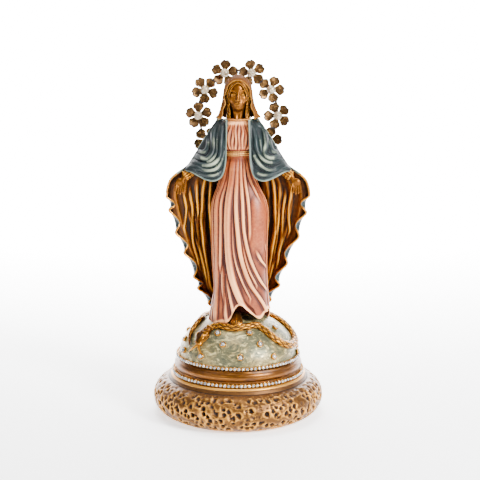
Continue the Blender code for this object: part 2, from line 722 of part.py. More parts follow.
def halo_plane():
    """The wire stands far enough back for the lowest flower's cupped petals to clear the mantle."""
    centre = halo_point(FLOWER_START + 3 * FLOWER_PITCH)
    rim = [(FLOWER_RADIUS * math.cos(a), FLOWER_RADIUS * math.sin(a)) for a in np.arange(12) * math.tau / 12]
    skin = max(mantle_skin(centre.x + x, centre.z + z) for x, z in rim)
    return skin + HALO_STANDOFF + PETAL_CUP + PETAL_THICKNESS + 2 * CLEARANCE + HALO_WIRE_DIAMETER / 2


def halo_leg_end(side):
    """Where a leg of the wire ends, just inside the mantle's back panel."""
    top = halo_point(side * HALO_END_ANGLE)
    inner_skin = mantle_skin(top.x, top.z) - MANTLE_THICKNESS
    return Vector((top.x, inner_skin - 0.8 * MM, top.z))


def halo_route():
    """The wire's middle line: out of the mantle, over the head and back into the mantle."""
    left_end = halo_leg_end(LEFT)
    right_end = halo_leg_end(RIGHT)
    arch = [halo_point(angle, halo_plane()) for angle in np.linspace(-HALO_END_ANGLE, HALO_END_ANGLE, 41)]
    for point in (arch[0], arch[-1]):
        point.y -= 1.2 * MM
    legs = []
    for end, start in ((left_end, arch[0]), (right_end, arch[-1])):
        legs.append([end, Vector((end.x, start.y - 1.6 * MM, end.z))])
    return legs[0] + arch + legs[1][::-1]


def drill_mantle(mantle):
    """The two holes in the back panel that take the wire's legs."""
    for side in (LEFT, RIGHT):
        end = halo_leg_end(side)
        shape = bmesh.new()
        radius = HALO_WIRE_DIAMETER / 2 + CLEARANCE
        bmesh.ops.create_cone(
            shape, cap_ends=True, segments=16, radius1=radius, radius2=radius, depth=14 * MM
        )
        bmesh.ops.transform(
            shape, verts=shape.verts, matrix=Matrix.Translation(end) @ Matrix.Rotation(math.pi / 2, 4, "X")
        )
        cut(mantle, from_bmesh("leg_hole_" + SIDE_NAMES[side], shape, None, CUTTERS))


def petal_reach(turn):
    """The outline of a flower of five heart-shaped petals, as a share of its radius."""
    lobe = 5 * turn / 2
    body = abs(math.cos(lobe)) ** 0.5
    notch = 0.12 * math.exp(-((math.sin(lobe) / 0.28) ** 2))
    return 0.3 + 0.7 * body - notch


def make_flower(name, angle, spin):
    """A cupped flower; its back rests against the front of the wire."""
    middle = halo_point(angle, halo_plane() - HALO_WIRE_DIAMETER / 2 - CLEARANCE)
    turns = np.arange(30) * math.tau / 30
    shape = bmesh.new()

    def place(turn, share, front):
        reach = FLOWER_RADIUS * petal_reach(turn) * share
        cup = PETAL_CUP * (reach / FLOWER_RADIUS) ** 2
        y = -cup - (PETAL_THICKNESS if front else 0.0)
        return middle + Vector((reach * math.sin(turn + spin), y, reach * math.cos(turn + spin)))

    rings = [(0.55, False), (1.0, False), (1.0, True), (0.55, True)]
    verts = add_grid(shape, [[place(turn, share, front) for turn in turns] for share, front in rings], wrap=True)
    for ring, front in ((verts[0], False), (verts[-1], True)):
        hub = shape.verts.new(place(0.0, 0.0, front))
        for i, vert in enumerate(ring):
            shape.faces.new((vert, ring[(i + 1) % len(ring)], hub))
    from_bmesh(name, shape, HALO_BRONZE)
    return middle - Vector((0, PETAL_THICKNESS, 0))


def make_pearl(name, flower_front):
    radius = PEARL_DIAMETER / 2
    shape = bmesh.new()
    bmesh.ops.create_uvsphere(shape, u_segments=10, v_segments=7, radius=radius)
    # The pearl is bedded in the cup of the petals, which starts to rise right beside the centre.
    centre = flower_front - Vector((0, radius + 1.6 * CLEARANCE, 0))
    bmesh.ops.translate(shape, verts=shape.verts, vec=centre)
    from_bmesh(name, shape, PEARL)


def make_halo():
    tube("halo_wire", halo_route(), HALO_WIRE_DIAMETER / 2, HALO_BRONZE)
    number = 0
    for side in (LEFT, RIGHT):
        for step in range(4):
            number += 1
            angle = side * (FLOWER_START + step * FLOWER_PITCH)
            spin = math.radians(angle) + 0.25 * step
            front = make_flower(f"flower_{number}", angle, spin)
            make_pearl(f"pearl_{number}", front)


# ---------------------------------------------------------------- assembly

make_base_pad()
make_plinth()
make_chain("lower_rhinestone_chain", BAND_RADIUS - 0.6 * MM + CLEARANCE, PLINTH_HEIGHT + 1.6 * CLEARANCE)
make_base_band()
make_globe()
make_chain("upper_rhinestone_chain", GLOBE_RADIUS + CLEARANCE, GLOBE_LEVEL + 0.6 * CLEARANCE)
for count, (stud_azimuth, stud_reach) in enumerate(STUD_PLACES, start=1):
    make_stud(f"crystal_stud_{count:02d}", stud_azimuth, stud_reach)

around_globe = turned("around_globe", globe_profile(CLEARANCE, 10 * MM), None, collection=CUTTERS)
around_snake = make_snake("around_snake", CLEARANCE, None, CUTTERS)
snake = make_snake("snake", 0.0, SNAKE_GOLD)
cut(snake, around_globe)
settle(snake)

around_foot = make_foot("around_foot", CLEARANCE, None, CUTTERS)
foot = make_foot("foot", 0.0, FIGURE_GOLD)
tunic = make_tunic("tunic", TUNIC_PINK)
for piece, cutters in ((foot, (around_globe, around_snake)), (tunic, (around_globe, around_snake, around_foot))):
    for cutter in cutters:
        cut(piece, cutter)
    settle(piece)
make_belt()
make_collar()
make_head_group()

mantle_back = make_mantle_back("mantle_back")
cut(mantle_back, around_globe)
cut(mantle_back, around_snake)
drill_mantle(mantle_back)
settle(mantle_back)
around_tunic = make_tunic_cutter()
for arm_side in (LEFT, RIGHT):
    make_mantle_front(arm_side)
    make_arm(arm_side, around_tunic)
make_halo()
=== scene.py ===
# %% [markdown]
# # A madonna statue
# The statue is a cast and painted figure on a globe, on a round base, with a halo of stamped flowers.
# The solid model gives every piece its place. This script keeps those places and makes the surfaces:
# carved folds, a face, rhinestones, scales, and the layers of paint and gold.

# %% Load the solid model
import math

import bmesh
import bpy
import numpy as np
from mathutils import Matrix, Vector


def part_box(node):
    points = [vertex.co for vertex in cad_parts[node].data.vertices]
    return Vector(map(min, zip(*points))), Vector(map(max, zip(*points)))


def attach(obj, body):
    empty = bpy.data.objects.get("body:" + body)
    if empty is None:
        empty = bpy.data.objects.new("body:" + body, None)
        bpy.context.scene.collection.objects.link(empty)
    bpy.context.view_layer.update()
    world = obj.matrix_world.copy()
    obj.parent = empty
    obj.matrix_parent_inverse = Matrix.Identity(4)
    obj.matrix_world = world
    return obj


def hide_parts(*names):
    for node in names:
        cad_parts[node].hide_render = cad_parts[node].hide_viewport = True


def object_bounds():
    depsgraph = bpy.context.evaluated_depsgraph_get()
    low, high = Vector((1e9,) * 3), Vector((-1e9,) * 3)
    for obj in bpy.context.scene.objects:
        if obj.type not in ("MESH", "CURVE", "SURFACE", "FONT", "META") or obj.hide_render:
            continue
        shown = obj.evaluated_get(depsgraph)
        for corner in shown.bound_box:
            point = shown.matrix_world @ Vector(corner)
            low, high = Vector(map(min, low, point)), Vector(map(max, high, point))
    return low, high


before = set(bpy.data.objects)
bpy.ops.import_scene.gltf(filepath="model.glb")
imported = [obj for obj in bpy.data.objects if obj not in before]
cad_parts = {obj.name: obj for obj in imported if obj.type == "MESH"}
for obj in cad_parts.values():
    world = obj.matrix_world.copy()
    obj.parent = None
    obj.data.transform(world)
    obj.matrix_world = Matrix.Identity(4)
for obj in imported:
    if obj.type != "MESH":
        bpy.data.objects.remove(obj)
cad_low, cad_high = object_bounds()

# %% [markdown]
# ## Measures
# Everything on the figure is laid out in figure units, one 159th of its height (about a millimetre), measured
# up from the level where it stands on the globe. The few lengths below come from the solid model's own boxes,
# so the surfaces land exactly where the solids are.

# %% Measures taken from the solid model
MM = 0.001
globe_low, globe_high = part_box("globe")
GLOBE_RADIUS = (globe_high.x - globe_low.x) / 2
GLOBE_LEVEL = globe_low.z
GLOBE_HEIGHT = globe_high.z - globe_low.z
FOOT_LEVEL = globe_high.z - 5.6 * MM
UNIT = (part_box("veil")[1].z - FOOT_LEVEL) / 159
BASE_RADIUS = (cad_high.x - cad_low.x) / 2
LEFT, RIGHT = -1, 1
SIDE_NAMES = {LEFT: "left", RIGHT: "right"}
print("globe radius, mm:", round(GLOBE_RADIUS / MM, 2), " one figure unit, mm:", round(UNIT / MM, 4))

# %% [markdown]
# ## Tools for shaping
# A carved surface is a sheet of points, one row after another, so most pieces here start as an array of
# points. smooth_through draws a soft curve through a few chosen values, which is how a sculptor thinks of an
# outline: so wide here, so wide there, and smooth between.

# %% Curves and steps


def smooth_through(*points):
    """A smooth function through (place, value) points, level beyond its two ends."""
    places, values = np.array(points, float).T
    slopes = np.gradient(values, places)

    def value_at(place):
        place = np.clip(place, places[0], places[-1])
        i = np.clip(np.searchsorted(places, place, side="right") - 1, 0, len(places) - 2)
        width = places[i + 1] - places[i]
        t = (place - places[i]) / width
        start = values[i] * (1 + 2 * t) * (1 - t) ** 2 + slopes[i] * width * t * (1 - t) ** 2
        end = values[i + 1] * t * t * (3 - 2 * t) - slopes[i + 1] * width * t * t * (1 - t)
        return start + end

    return value_at


def curve_through(*points):
    """A smooth function from 0..1 to points along a route: an array gives an array of points."""
    steps = np.linspace(0, 1, len(points))
    along = [smooth_through(*zip(steps, axis)) for axis in zip(*points)]
    return lambda t: np.stack([axis(t) for axis in along], axis=-1)


def ramp(value, low, high):
    """0 below low, 1 above high, soft between; low may be the larger one."""
    t = np.clip((np.asarray(value, float) - low) / (high - low), 0.0, 1.0)
    return t * t * (3 - 2 * t)


def unit(vectors):
    return vectors / np.maximum(np.linalg.norm(vectors, axis=-1, keepdims=True), 1e-12)


def in_frame(points):
    """Figure units to metres in the frame."""
    return np.asarray(points, float) * UNIT + np.array([0.0, 0.0, FOOT_LEVEL])


def mixed(a, b, t):
    return a + (b - a) * t


def soft_max(a, b, blend):
    """The larger of two heights, with the crease between them rounded over the blend."""
    h = np.clip(0.5 + 0.5 * (a - b) / blend, 0, 1)
    return b + (a - b) * h + blend * h * (1 - h)


print("curve check:", round(float(smooth_through((0, 0), (1, 2), (2, 0))(1.0)), 3))

# %% [markdown]
# ## From points to a mesh
# grid_mesh joins rows of points with four-sided faces. Where the rows close on themselves, wrap joins the
# last point to the first, and caps close the two ends with a fan, so the piece is a solid body. shell gives
# an open sheet its thickness with the Solidify modifier, which can also paint the inner side with a second
# material.

# %% Meshes from rows of points


def grid_mesh(name, rows, wrap=False, caps=False):
    """A mesh over rows of points; rows is an array of shape (rows, columns, 3)."""
    count, width = rows.shape[:2]
    points = rows.reshape(-1, 3)
    index = np.arange(count * width).reshape(count, width)
    right = np.roll(index, -1, axis=1) if wrap else index[:, 1:]
    left = index if wrap else index[:, :-1]
    quads = np.stack([left[:-1], right[:-1], right[1:], left[1:]], axis=-1).reshape(-1, 4)
    faces = quads.tolist()
    if caps:
        hubs = np.array([rows[0].mean(axis=0), rows[-1].mean(axis=0)])
        points = np.vstack([points, hubs])
        for ring, hub in ((index[0], count * width), (index[-1], count * width + 1)):
            faces += [(int(a), int(b), hub) for a, b in zip(ring, np.roll(ring, -1))]
    mesh = bpy.data.meshes.new(name)
    mesh.from_pydata(points.tolist(), [], faces)
    return mesh


def add_piece(name, mesh, *materials, sharp=None):
    """Links a mesh as a piece with outward faces, smooth shading and its materials."""
    shape = bmesh.new()
    shape.from_mesh(mesh)
    bmesh.ops.remove_doubles(shape, verts=shape.verts, dist=1e-7)
    bmesh.ops.recalc_face_normals(shape, faces=shape.faces)
    shape.to_mesh(mesh)
    shape.free()
    mesh.shade_smooth()
    if sharp:
        mesh.set_sharp_from_angle(angle=math.radians(sharp))
    obj = bpy.data.objects.new(name, mesh)
    bpy.context.scene.collection.objects.link(obj)
    for material in materials:
        mesh.materials.append(material)
    return obj


def settle(obj):
    """Turns an object with modifiers into a plain mesh."""
    graph = bpy.context.evaluated_depsgraph_get()
    mesh = bpy.data.meshes.new_from_object(obj.evaluated_get(graph))
    obj.modifiers.clear()
    obj.data = mesh
    return obj


def shell(name, rows, thickness, outside, inside, rim=None):
    """A sheet of even thickness: slot 0 outside, slot 1 inside; the outside is the side its normals face."""
    mesh = grid_mesh(name, rows)
    obj = bpy.data.objects.new(name, mesh)
    bpy.context.scene.collection.objects.link(obj)
    for material in (outside, inside, rim or outside):
        mesh.materials.append(material)
    solidify = obj.modifiers.new("thickness", "SOLIDIFY")
    solidify.thickness = thickness
    solidify.offset = 0.0
    solidify.material_offset = 1
    solidify.material_offset_rim = 2
    settle(obj)
    obj.data.shade_smooth()
    return obj


# %% [markdown]
# ## Relief, the key to an old painted look
# The paint on such a statue is wiped: dark wash stays in the hollows and bare gold or a dry brush catches the
# ridges. Here the same marks also stand in for light: the wash is partly painted shade in the hollows, and
# the ridge colour is partly a painted highlight. So each carved piece stores how far every point stands out
# of, or lies below, the average of the surface around it. Materials read that number as an attribute. It is
# worked out by smoothing a copy of the mesh and measuring how far each point moved along its normal.

# %% Measure the relief of a piece


def store_relief(obj, fine=4, broad=40):
    """Stores two point attributes in millimetres, fine and broad: above 0 on ridges, below 0 in hollows."""
    mesh = obj.data
    count = len(mesh.vertices)
    spots = np.empty(count * 3)
    mesh.vertices.foreach_get("co", spots)
    spots = spots.reshape(-1, 3) * 1000
    normals = np.empty(count * 3)
    mesh.vertex_normals.foreach_get("vector", normals)
    normals = normals.reshape(-1, 3)
    edges = np.empty(len(mesh.edges) * 2, np.int64)
    mesh.edges.foreach_get("vertices", edges)
    a, b = edges.reshape(-1, 2).T
    ends = np.concatenate([a, b])
    others = np.concatenate([b, a])
    degree = np.bincount(ends, minlength=count).astype(float)
    degree[degree == 0] = 1
    smooth = spots.copy()
    steps = broad
    for step in range(1, steps + 1):
        near = np.stack([np.bincount(ends, smooth[others, axis], count) for axis in range(3)], axis=1)
        smooth = 0.5 * smooth + 0.5 * near / degree[:, None]
        if step == min(fine, steps):
            keep(mesh, "fine", ((spots - smooth) * normals).sum(axis=1))
    keep(mesh, "broad", ((spots - smooth) * normals).sum(axis=1))
    return obj


def keep(mesh, name, values):
    """Stores one number per point of a mesh under a name that a material can read."""
    old = mesh.attributes.get(name)
    if old:
        mesh.attributes.remove(old)
    layer = mesh.attributes.new(name, "FLOAT", "POINT")
    layer.data.foreach_set("value", np.ascontiguousarray(values, np.float32))


def place(obj, slot, *nodes):
    """Puts a finished piece in the frame: it rides on the statue and stands for the solids it shows."""
    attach(obj, "root")
    if nodes:
        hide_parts(*nodes)
    low = np.array([corner[:] for corner in obj.bound_box]).min(axis=0) * 1000
    high = np.array([corner[:] for corner in obj.bound_box]).max(axis=0) * 1000
    print(f"{obj.name}: {len(obj.data.polygons)} faces, {np.round(low, 1)} to {np.round(high, 1)} mm")
    return obj


# %% [markdown]
# ## Paint as arithmetic
# A finish is a small network of nodes. Written out node by node it is hard to read, so a socket is wrapped in
# a class that understands +, -, * and /. An expression such as 1 - mask then adds its own Math nodes.
# Every other node comes from one method, add, which takes the node's type, its settings and its inputs.

# %% A socket that does sums


class Wire:
    """One output socket of a finish; arithmetic on it adds Math nodes."""

    def __init__(self, finish, socket):
        self.finish = finish
        self.socket = socket

    def sum_with(self, operation, first, second):
        return self.finish.add("ShaderNodeMath", {"operation": operation}, {0: first, 1: second})

    def __add__(self, other):
        return self.sum_with("ADD", self, other)

    def __sub__(self, other):
        return self.sum_with("SUBTRACT", self, other)

    def __rsub__(self, other):
        return self.sum_with("SUBTRACT", other, self)

    def __mul__(self, other):
        return self.sum_with("MULTIPLY", self, other)

    def __truediv__(self, other):
        return self.sum_with("DIVIDE", self, other)

    def __rtruediv__(self, other):
        return self.sum_with("DIVIDE", other, self)

    __radd__ = __add__
    __rmul__ = __mul__


class Network:
    """Any tree of nodes: of a material, or of Geometry Nodes."""

    def add(self, kind, settings=None, inputs=None, out=0):
        """Adds a node, sets it up, links or fills its inputs, and returns one output as a Wire."""
        node = self.tree.nodes.new(kind)
        for key, value in (settings or {}).items():
            setattr(node, key, value)
        for key, value in (inputs or {}).items():
            self.plug(node.inputs[key], value)
        return Wire(self, node.outputs[out])

    def plug(self, socket, value):
        if isinstance(value, Wire):
            self.tree.links.new(value.socket, socket)
        else:
            socket.default_value = value

    def vector(self, operation, first, second=None, out=0):
        """Vector Math on one or two vectors; SCALE takes a number as its second."""
        slot = 3 if operation == "SCALE" else 1
        inputs = {0: first} if second is None else {0: first, slot: second}
        return self.add("ShaderNodeVectorMath", {"operation": operation}, inputs, out)


class Finish(Network):
    """A material in the making. Its spot is the Object coordinate, in metres on the statue."""

    def __init__(self, name):
        self.material = bpy.data.materials.new(name)
        self.material.use_nodes = True
        self.tree = self.material.node_tree
        self.shader = self.tree.nodes["Principled BSDF"]
        self.spot = self.add("ShaderNodeTexCoord", out="Object")

    def set(self, **inputs):
        """Feeds the Principled shader; base_color stands for its Base Color, and so on."""
        for key, value in inputs.items():
            self.plug(self.shader.inputs[key.replace("_", " ").title().replace("Ior", "IOR")], value)
        return self.material

    def relief(self, name):
        return self.add("ShaderNodeAttribute", {"attribute_name": name}, out="Fac")

    def noise(self, size, detail=4.0, roughness=0.55, warp=0.0, spot=None):
        """Cloudy noise whose lumps are about size metres across."""
        inputs = {"Vector": spot or self.spot, "Scale": 1 / size, "Detail": detail, "Roughness": roughness}
        inputs["Distortion"] = warp
        return self.add("ShaderNodeTexNoise", None, inputs, out="Fac")

    def cells(self, size, feature="F1", spot=None, randomness=1.0):
        inputs = {"Vector": spot or self.spot, "Scale": 1 / size, "Randomness": randomness}
        return self.add("ShaderNodeTexVoronoi", {"feature": feature}, inputs, out="Distance")

    def step(self, value, low, high):
        """0 to 1 as value goes softly from low to high; low may be the larger one."""
        start, end, first, last = (low, high, 0.0, 1.0) if low < high else (high, low, 1.0, 0.0)
        inputs = {"Value": value, "From Min": start, "From Max": end, "To Min": first, "To Max": last}
        return self.add("ShaderNodeMapRange", {"interpolation_type": "SMOOTHSTEP"}, inputs)

    def mix(self, share, first, second, blend="MIX"):
        """Mixes two colours: all first at share 0, all second at 1."""
        settings = {"data_type": "RGBA", "blend_type": blend}
        first, second = (c if isinstance(c, Wire) else (*c, 1.0) for c in (first, second))
        return self.add("ShaderNodeMix", settings, {"Factor": share, 6: first, 7: second}, out=2)

    def bump(self, height, strength=0.5, depth=0.3 * MM):
        """Turns a 0..1 height into a normal; depth is how deep a full step is, in metres."""
        inputs = {"Height": height, "Strength": strength, "Distance": depth}
        return self.add("ShaderNodeBump", None, inputs, out="Normal")

    def stretched(self, x, y, z):
        """The spot with each axis scaled, so that a pattern is drawn out along the smallest."""
        return self.vector("MULTIPLY", self.spot, (x, y, z))


print("a finish can be written as sums of masks")

# %% [markdown]
# ## Gold, wash and dry brush, with painted shade and highlight
# Nearly every piece has the same three layers in other colours: a body colour, a dark wash that settles in
# hollows, and a lighter colour dragged over the ridges with an almost dry brush. The wash is partly the
# statue's own wash and partly painted shade in the hollows. The ridge colour is partly real dry brush and
# partly a painted highlight. wiped_paint builds them from the stored relief, with cloudy noise so that no
# edge of the wash is a clean line. Gold leaf is metallic, and the wash over it isn't, so the same masks also
# steer Metallic and Roughness.

# %% The three-layer finish


def wiped_paint(name, hollow, body, ridge, *, metal=0.0, gloss=0.35, hollow_at=(0.03, -0.32),
                ridge_at=(0.06, 0.34), ridge_share=0.8, mottle=0.35, wear=None, grain=0.18, shine=0.25,
                rim=None):
    """Body colour, a dark wash in hollows (partly painted shade), a light brush on ridges (partly painted
    highlight), cloudy uneven coverage.
    """
    finish = Finish(name)
    cloud = finish.noise(9 * MM, 5.0, 0.6, 0.8)
    speck = finish.noise(1.3 * MM, 4.0, 0.65)
    fine = finish.relief("fine")
    broad = finish.relief("broad") + fine * 1.5 + (speck - 0.5) * grain
    # the wash is partly the statue's own dark wash and partly painted shade: it darkens the hollows where the
    # folds are shaded
    wash_and_shade = finish.step(broad, *hollow_at)
    # the brush is partly real dry brush and partly a painted highlight on the ridges
    brush_and_highlight = finish.step(broad + (cloud - 0.5) * 0.12, *ridge_at) * ridge_share
    shade = finish.mix(finish.step(cloud, 0.32, 0.68) * mottle, body, hollow)
    colour = finish.mix(wash_and_shade, shade, hollow)
    colour = finish.mix(brush_and_highlight, colour, ridge)
    worn = finish.step(finish.noise(3.2 * MM, 6.0, 0.7, 0.4), 0.60, 0.74) * 0.55
    colour = finish.mix(worn, colour, wear or hollow)
    # a lighter colour along the cut edge, stored as hem, is a painted highlight where the edge catches the
    # light
    if rim:
        border = finish.step(finish.relief("hem") + (speck - 0.5) * 0.9, 0.30, 0.75)
        colour = finish.mix(border * 0.7, colour, rim)
    metallic = metal * (1 - wash_and_shade * 0.55) if metal else 0.0
    rough = gloss + wash_and_shade * 0.22 + speck * 0.16 - brush_and_highlight * 0.06
    height = speck * 0.6 + finish.noise(0.5 * MM, 2.0) * 0.25 + cloud * 0.5
    return finish.set(
        base_color=colour, metallic=metallic, roughness=rough, normal=finish.bump(height, 0.35, 0.22 * MM),
        specular_ior_level=shine,
    )


# The second colour of each finish sits in the hollows and the third on the ridges: wash and dry brush, partly
# painted shade and painted highlight.
FIGURE_GOLD = wiped_paint(
    "figure_gold", (0.011, 0.0037, 0.0008), (0.15, 0.049, 0.0040), (0.62, 0.25, 0.014), metal=0.85, gloss=0.27
)
HAIR_GOLD = wiped_paint(
    "hair_gold", (0.010, 0.0036, 0.0009), (0.12, 0.041, 0.0038), (0.60, 0.24, 0.014), metal=0.75, gloss=0.34
)
VEIL_GOLD = wiped_paint(
    "veil_gold", (0.015, 0.0055, 0.0014), (0.105, 0.034, 0.0048), (0.46, 0.20, 0.030), metal=0.4, gloss=0.60,
    shine=0.08
)
# the rim colours of this and the two blue finishes are a painted highlight along the mantle's cut edge
LINING_GOLD = wiped_paint(
    "lining_gold", (0.0056, 0.0018, 0.0006), (0.155, 0.048, 0.0052), (0.60, 0.25, 0.018), metal=0.88,
    gloss=0.26,
    hollow_at=(0.10, -0.35), ridge_at=(0.22, 1.0), ridge_share=0.8, mottle=0.6, wear=(0.020, 0.006, 0.002),
    rim=(0.34, 0.115, 0.011),
)
MANTLE_BLUE = wiped_paint(
    "mantle_blue", (0.0008, 0.0015, 0.0020), (0.0060, 0.0130, 0.0135), (0.46, 0.52, 0.35), gloss=0.34,
    hollow_at=(0.12, -0.16), ridge_at=(0.28, 0.95), ridge_share=0.85, mottle=0.5, wear=(0.045, 0.068, 0.066),
    rim=(0.085, 0.12, 0.105),
)
BACK_BLUE = wiped_paint(
    "mantle_back_blue", (0.0008, 0.0015, 0.0020), (0.0075, 0.0160, 0.0168), (0.17, 0.21, 0.155), gloss=0.36,
    hollow_at=(-0.15, -0.90), ridge_at=(0.45, 1.60), ridge_share=0.6, mottle=0.6, wear=(0.045, 0.068, 0.066),
    rim=(0.085, 0.12, 0.105),
)
TUNIC_PINK = wiped_paint(
    "tunic_pink", (0.040, 0.0060, 0.0020), (0.29, 0.058, 0.0135), (0.95, 0.43, 0.165), gloss=0.26,
    hollow_at=(0.16, -0.18), ridge_at=(0.0, 0.60), ridge_share=0.9, mottle=0.3, wear=(0.45, 0.15, 0.05),
    shine=0.22,
)
TRIM_GOLD = wiped_paint(
    "trim_gold", (0.05, 0.020, 0.0065), (0.34, 0.125, 0.026), (0.90, 0.46, 0.11), metal=0.6, gloss=0.32
)
SNAKE_GOLD = wiped_paint(
    "snake_gold", (0.008, 0.0028, 0.0007), (0.085, 0.030, 0.0026), (0.60, 0.24, 0.012), metal=0.9, gloss=0.26,
    hollow_at=(0.03, -0.10), ridge_at=(0.05, 0.22),
)
PLINTH_GOLD = wiped_paint(
    "plinth_gold", (0.010, 0.0036, 0.0010), (0.10, 0.039, 0.0070), (0.54, 0.24, 0.032), metal=0.7, gloss=0.34,
    hollow_at=(0.05, -0.50), ridge_at=(0.10, 0.50), ridge_share=0.85, mottle=0.4, wear=(0.030, 0.010, 0.004),
)
print("wiped finishes:", len([m for m in bpy.data.materials if m.use_nodes]))
# %% [markdown]
# ## Recipes: shapes that follow a rule
# Some pieces repeat or follow a rule: a hundred little stones in a chain, the pits of the plinth, five petals
# in a flower. For those a Geometry Nodes tree is better than a list of meshes, since its named inputs stay
# as the measures that a maker would change. A Recipe is such a tree, built with the same add as the finishes.

# %% A Geometry Nodes recipe

SOCKET_TYPES = {float: "Float", int: "Int", bpy.types.Material: "Material", bpy.types.Object: "Object"}


class Recipe(Network):
    """A Geometry Nodes tree whose measures are its named inputs."""

    def __init__(self, name, **measures):
        self.tree = bpy.data.node_groups.new(name, "GeometryNodeTree")
        self.measures = measures
        self.tree.interface.new_socket("Shape", in_out="INPUT", socket_type="NodeSocketGeometry")
        for key, value in measures.items():
            kind = next(kind for type_, kind in SOCKET_TYPES.items() if isinstance(value, type_))
            self.tree.interface.new_socket(key, in_out="INPUT", socket_type="NodeSocket" + kind)
        self.tree.interface.new_socket("Shape", in_out="OUTPUT", socket_type="NodeSocketGeometry")
        self.entry = self.tree.nodes.new("NodeGroupInput")
        self.exit = self.tree.nodes.new("NodeGroupOutput")

    def given(self, name):
        return Wire(self, self.entry.outputs[name])

    def named(self, name):
        """A stored point attribute of the shape."""
        return self.add("GeometryNodeInputNamedAttribute", None, {"Name": name})

    def finish(self, shape, paint):
        """Ends the recipe: real geometry instead of instances, and its material."""
        real = self.add("GeometryNodeRealizeInstances", None, {0: shape})
        painted = self.add("GeometryNodeSetMaterial", None, {0: real, "Material": self.given(paint)})
        self.plug(self.exit.inputs[0], painted)
        return self

    def cook(self, obj, **changes):
        """Runs the recipe on an object with its measures, and leaves the result as a plain mesh."""
        modifier = obj.modifiers.new(self.tree.name, "NODES")
        modifier.node_group = self.tree
        values = {**self.measures, **changes}
        for item in self.tree.interface.items_tree:
            if item.in_out == "INPUT" and item.name in values:
                modifier[item.identifier] = values[item.name]
        return settle(obj)


def empty_piece(name):
    """An object with no points yet, for a recipe to fill."""
    return add_piece(name, bpy.data.meshes.new(name))


print("recipes can be cooked")

# %% [markdown]
# ## The plinth
# The base is cast plaster or resin under gold paint: a fat ring whose side was dabbed while soft, which left
# irregular pits a few millimetres wide, and drawn out into fine crumples on the shoulder. On top is a smooth
# step. A turned outline gives the ring. A recipe sinks a round dimple at each cell point of a Voronoi
# pattern, deepest at the point itself, and bends the pattern with noise so that no two pits match.

# %% Turn the plinth and press its pits


def turned(profile, steps):
    """Rows of points round the axis for a profile of (radius, height) points, from the top down."""
    turn = np.arange(steps) * math.tau / steps
    profile = np.array(profile, float)
    ring = np.stack([np.cos(turn), np.sin(turn), np.ones(steps)], axis=-1)
    return ring[None] * profile[:, None, [0, 0, 1]]


def arc(centre, radius, start, end, count):
    """Points along a round stretch of a profile; degrees, 0 outward and 90 up."""
    angles = np.radians(np.linspace(start, end, count))
    return list(zip(centre[0] + radius * np.cos(angles), centre[1] + radius * np.sin(angles)))


def line(start, end, count):
    """Points along a straight stretch of a profile, without its last one."""
    return [tuple(mixed(np.array(start), np.array(end), t)) for t in np.arange(count) / count]


plinth_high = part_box("plinth")[1].z
STEP_RADIUS = 0.795 * BASE_RADIUS
ROLL = 11.5 * MM
ROLL_MIDDLE = (BASE_RADIUS - ROLL, 12 * MM)
PLINTH_TURNS = 720


def plinth_profile():
    step_top = (STEP_RADIUS - 1.2 * MM, plinth_high - 1.2 * MM)
    profile = line((0.2 * MM, plinth_high), (STEP_RADIUS - 1.2 * MM, plinth_high), 8)
    profile += arc(step_top, 1.2 * MM, 90, 0, 7)
    roll = arc(ROLL_MIDDLE, ROLL, 84, -62, 104)
    profile += line((STEP_RADIUS, plinth_high - 1.7 * MM), (roll[0][0], roll[0][1] + 0.2 * MM), 6)
    profile += roll
    profile += line(roll[-1], (0.82 * BASE_RADIUS, 0.0), 4)
    return profile + line((0.82 * BASE_RADIUS, 0.0), (0.2 * MM, 0.0), 5)


def pit_recipe():
    pits = Recipe(
        "pits", pit_size=3.9 * MM, pit_depth=2.3 * MM, bend=2.6 * MM, crumple=0.9 * MM, paint=PLINTH_GOLD
    )
    spot = pits.add("GeometryNodeInputPosition")
    roll = pits.named("roll")
    shoulder = pits.named("shoulder")
    cloud = pits.add("ShaderNodeTexNoise", None, {"Vector": spot, "Scale": 1 / (4 * MM), "Detail": 2.0},
        out="Color")
    bend = pits.vector("SCALE", pits.vector("SUBTRACT", cloud, (0.5, 0.5, 0.5)), pits.given("bend"))
    bent = pits.vector("ADD", spot, bend)
    size = 1.0 / pits.given("pit_size")
    near = pits.add("ShaderNodeTexVoronoi", {"feature": "F1"},
        {"Vector": bent, "Scale": size, "Randomness": 0.8})
    inputs = {"Value": near, "From Min": 0.62, "From Max": 0.08}
    bowl = pits.add("ShaderNodeMapRange", {"interpolation_type": "SMOOTHSTEP"}, inputs)
    depth = pits.add("ShaderNodeTexNoise", None, {"Vector": spot, "Scale": 1 / (7 * MM), "Detail": 1.0})
    pit = bowl * (depth * 1.5 + 0.15) * pits.given("pit_depth") * roll * (1.0 - shoulder * 0.55)
    drawn = pits.vector("MULTIPLY", spot, (0.32, 0.32, 1.0))
    creases = pits.add("ShaderNodeTexNoise", None, {"Vector": drawn, "Scale": 1 / (1.5 * MM), "Detail": 3.0})
    crumple = (creases - 0.5) * pits.given("crumple") * (roll * 0.35 + shoulder * 1.5)
    grit = pits.add("ShaderNodeTexNoise", None, {"Vector": spot, "Scale": 1 / (0.9 * MM), "Detail": 2.0})
    push = crumple - pit + (grit - 0.5) * 0.22 * MM * roll
    offset = pits.vector("SCALE", pits.add("GeometryNodeInputNormal"), push)
    moved = pits.add("GeometryNodeSetPosition", None, {0: pits.given("Shape"), "Offset": offset})
    return pits.finish(moved, "paint")


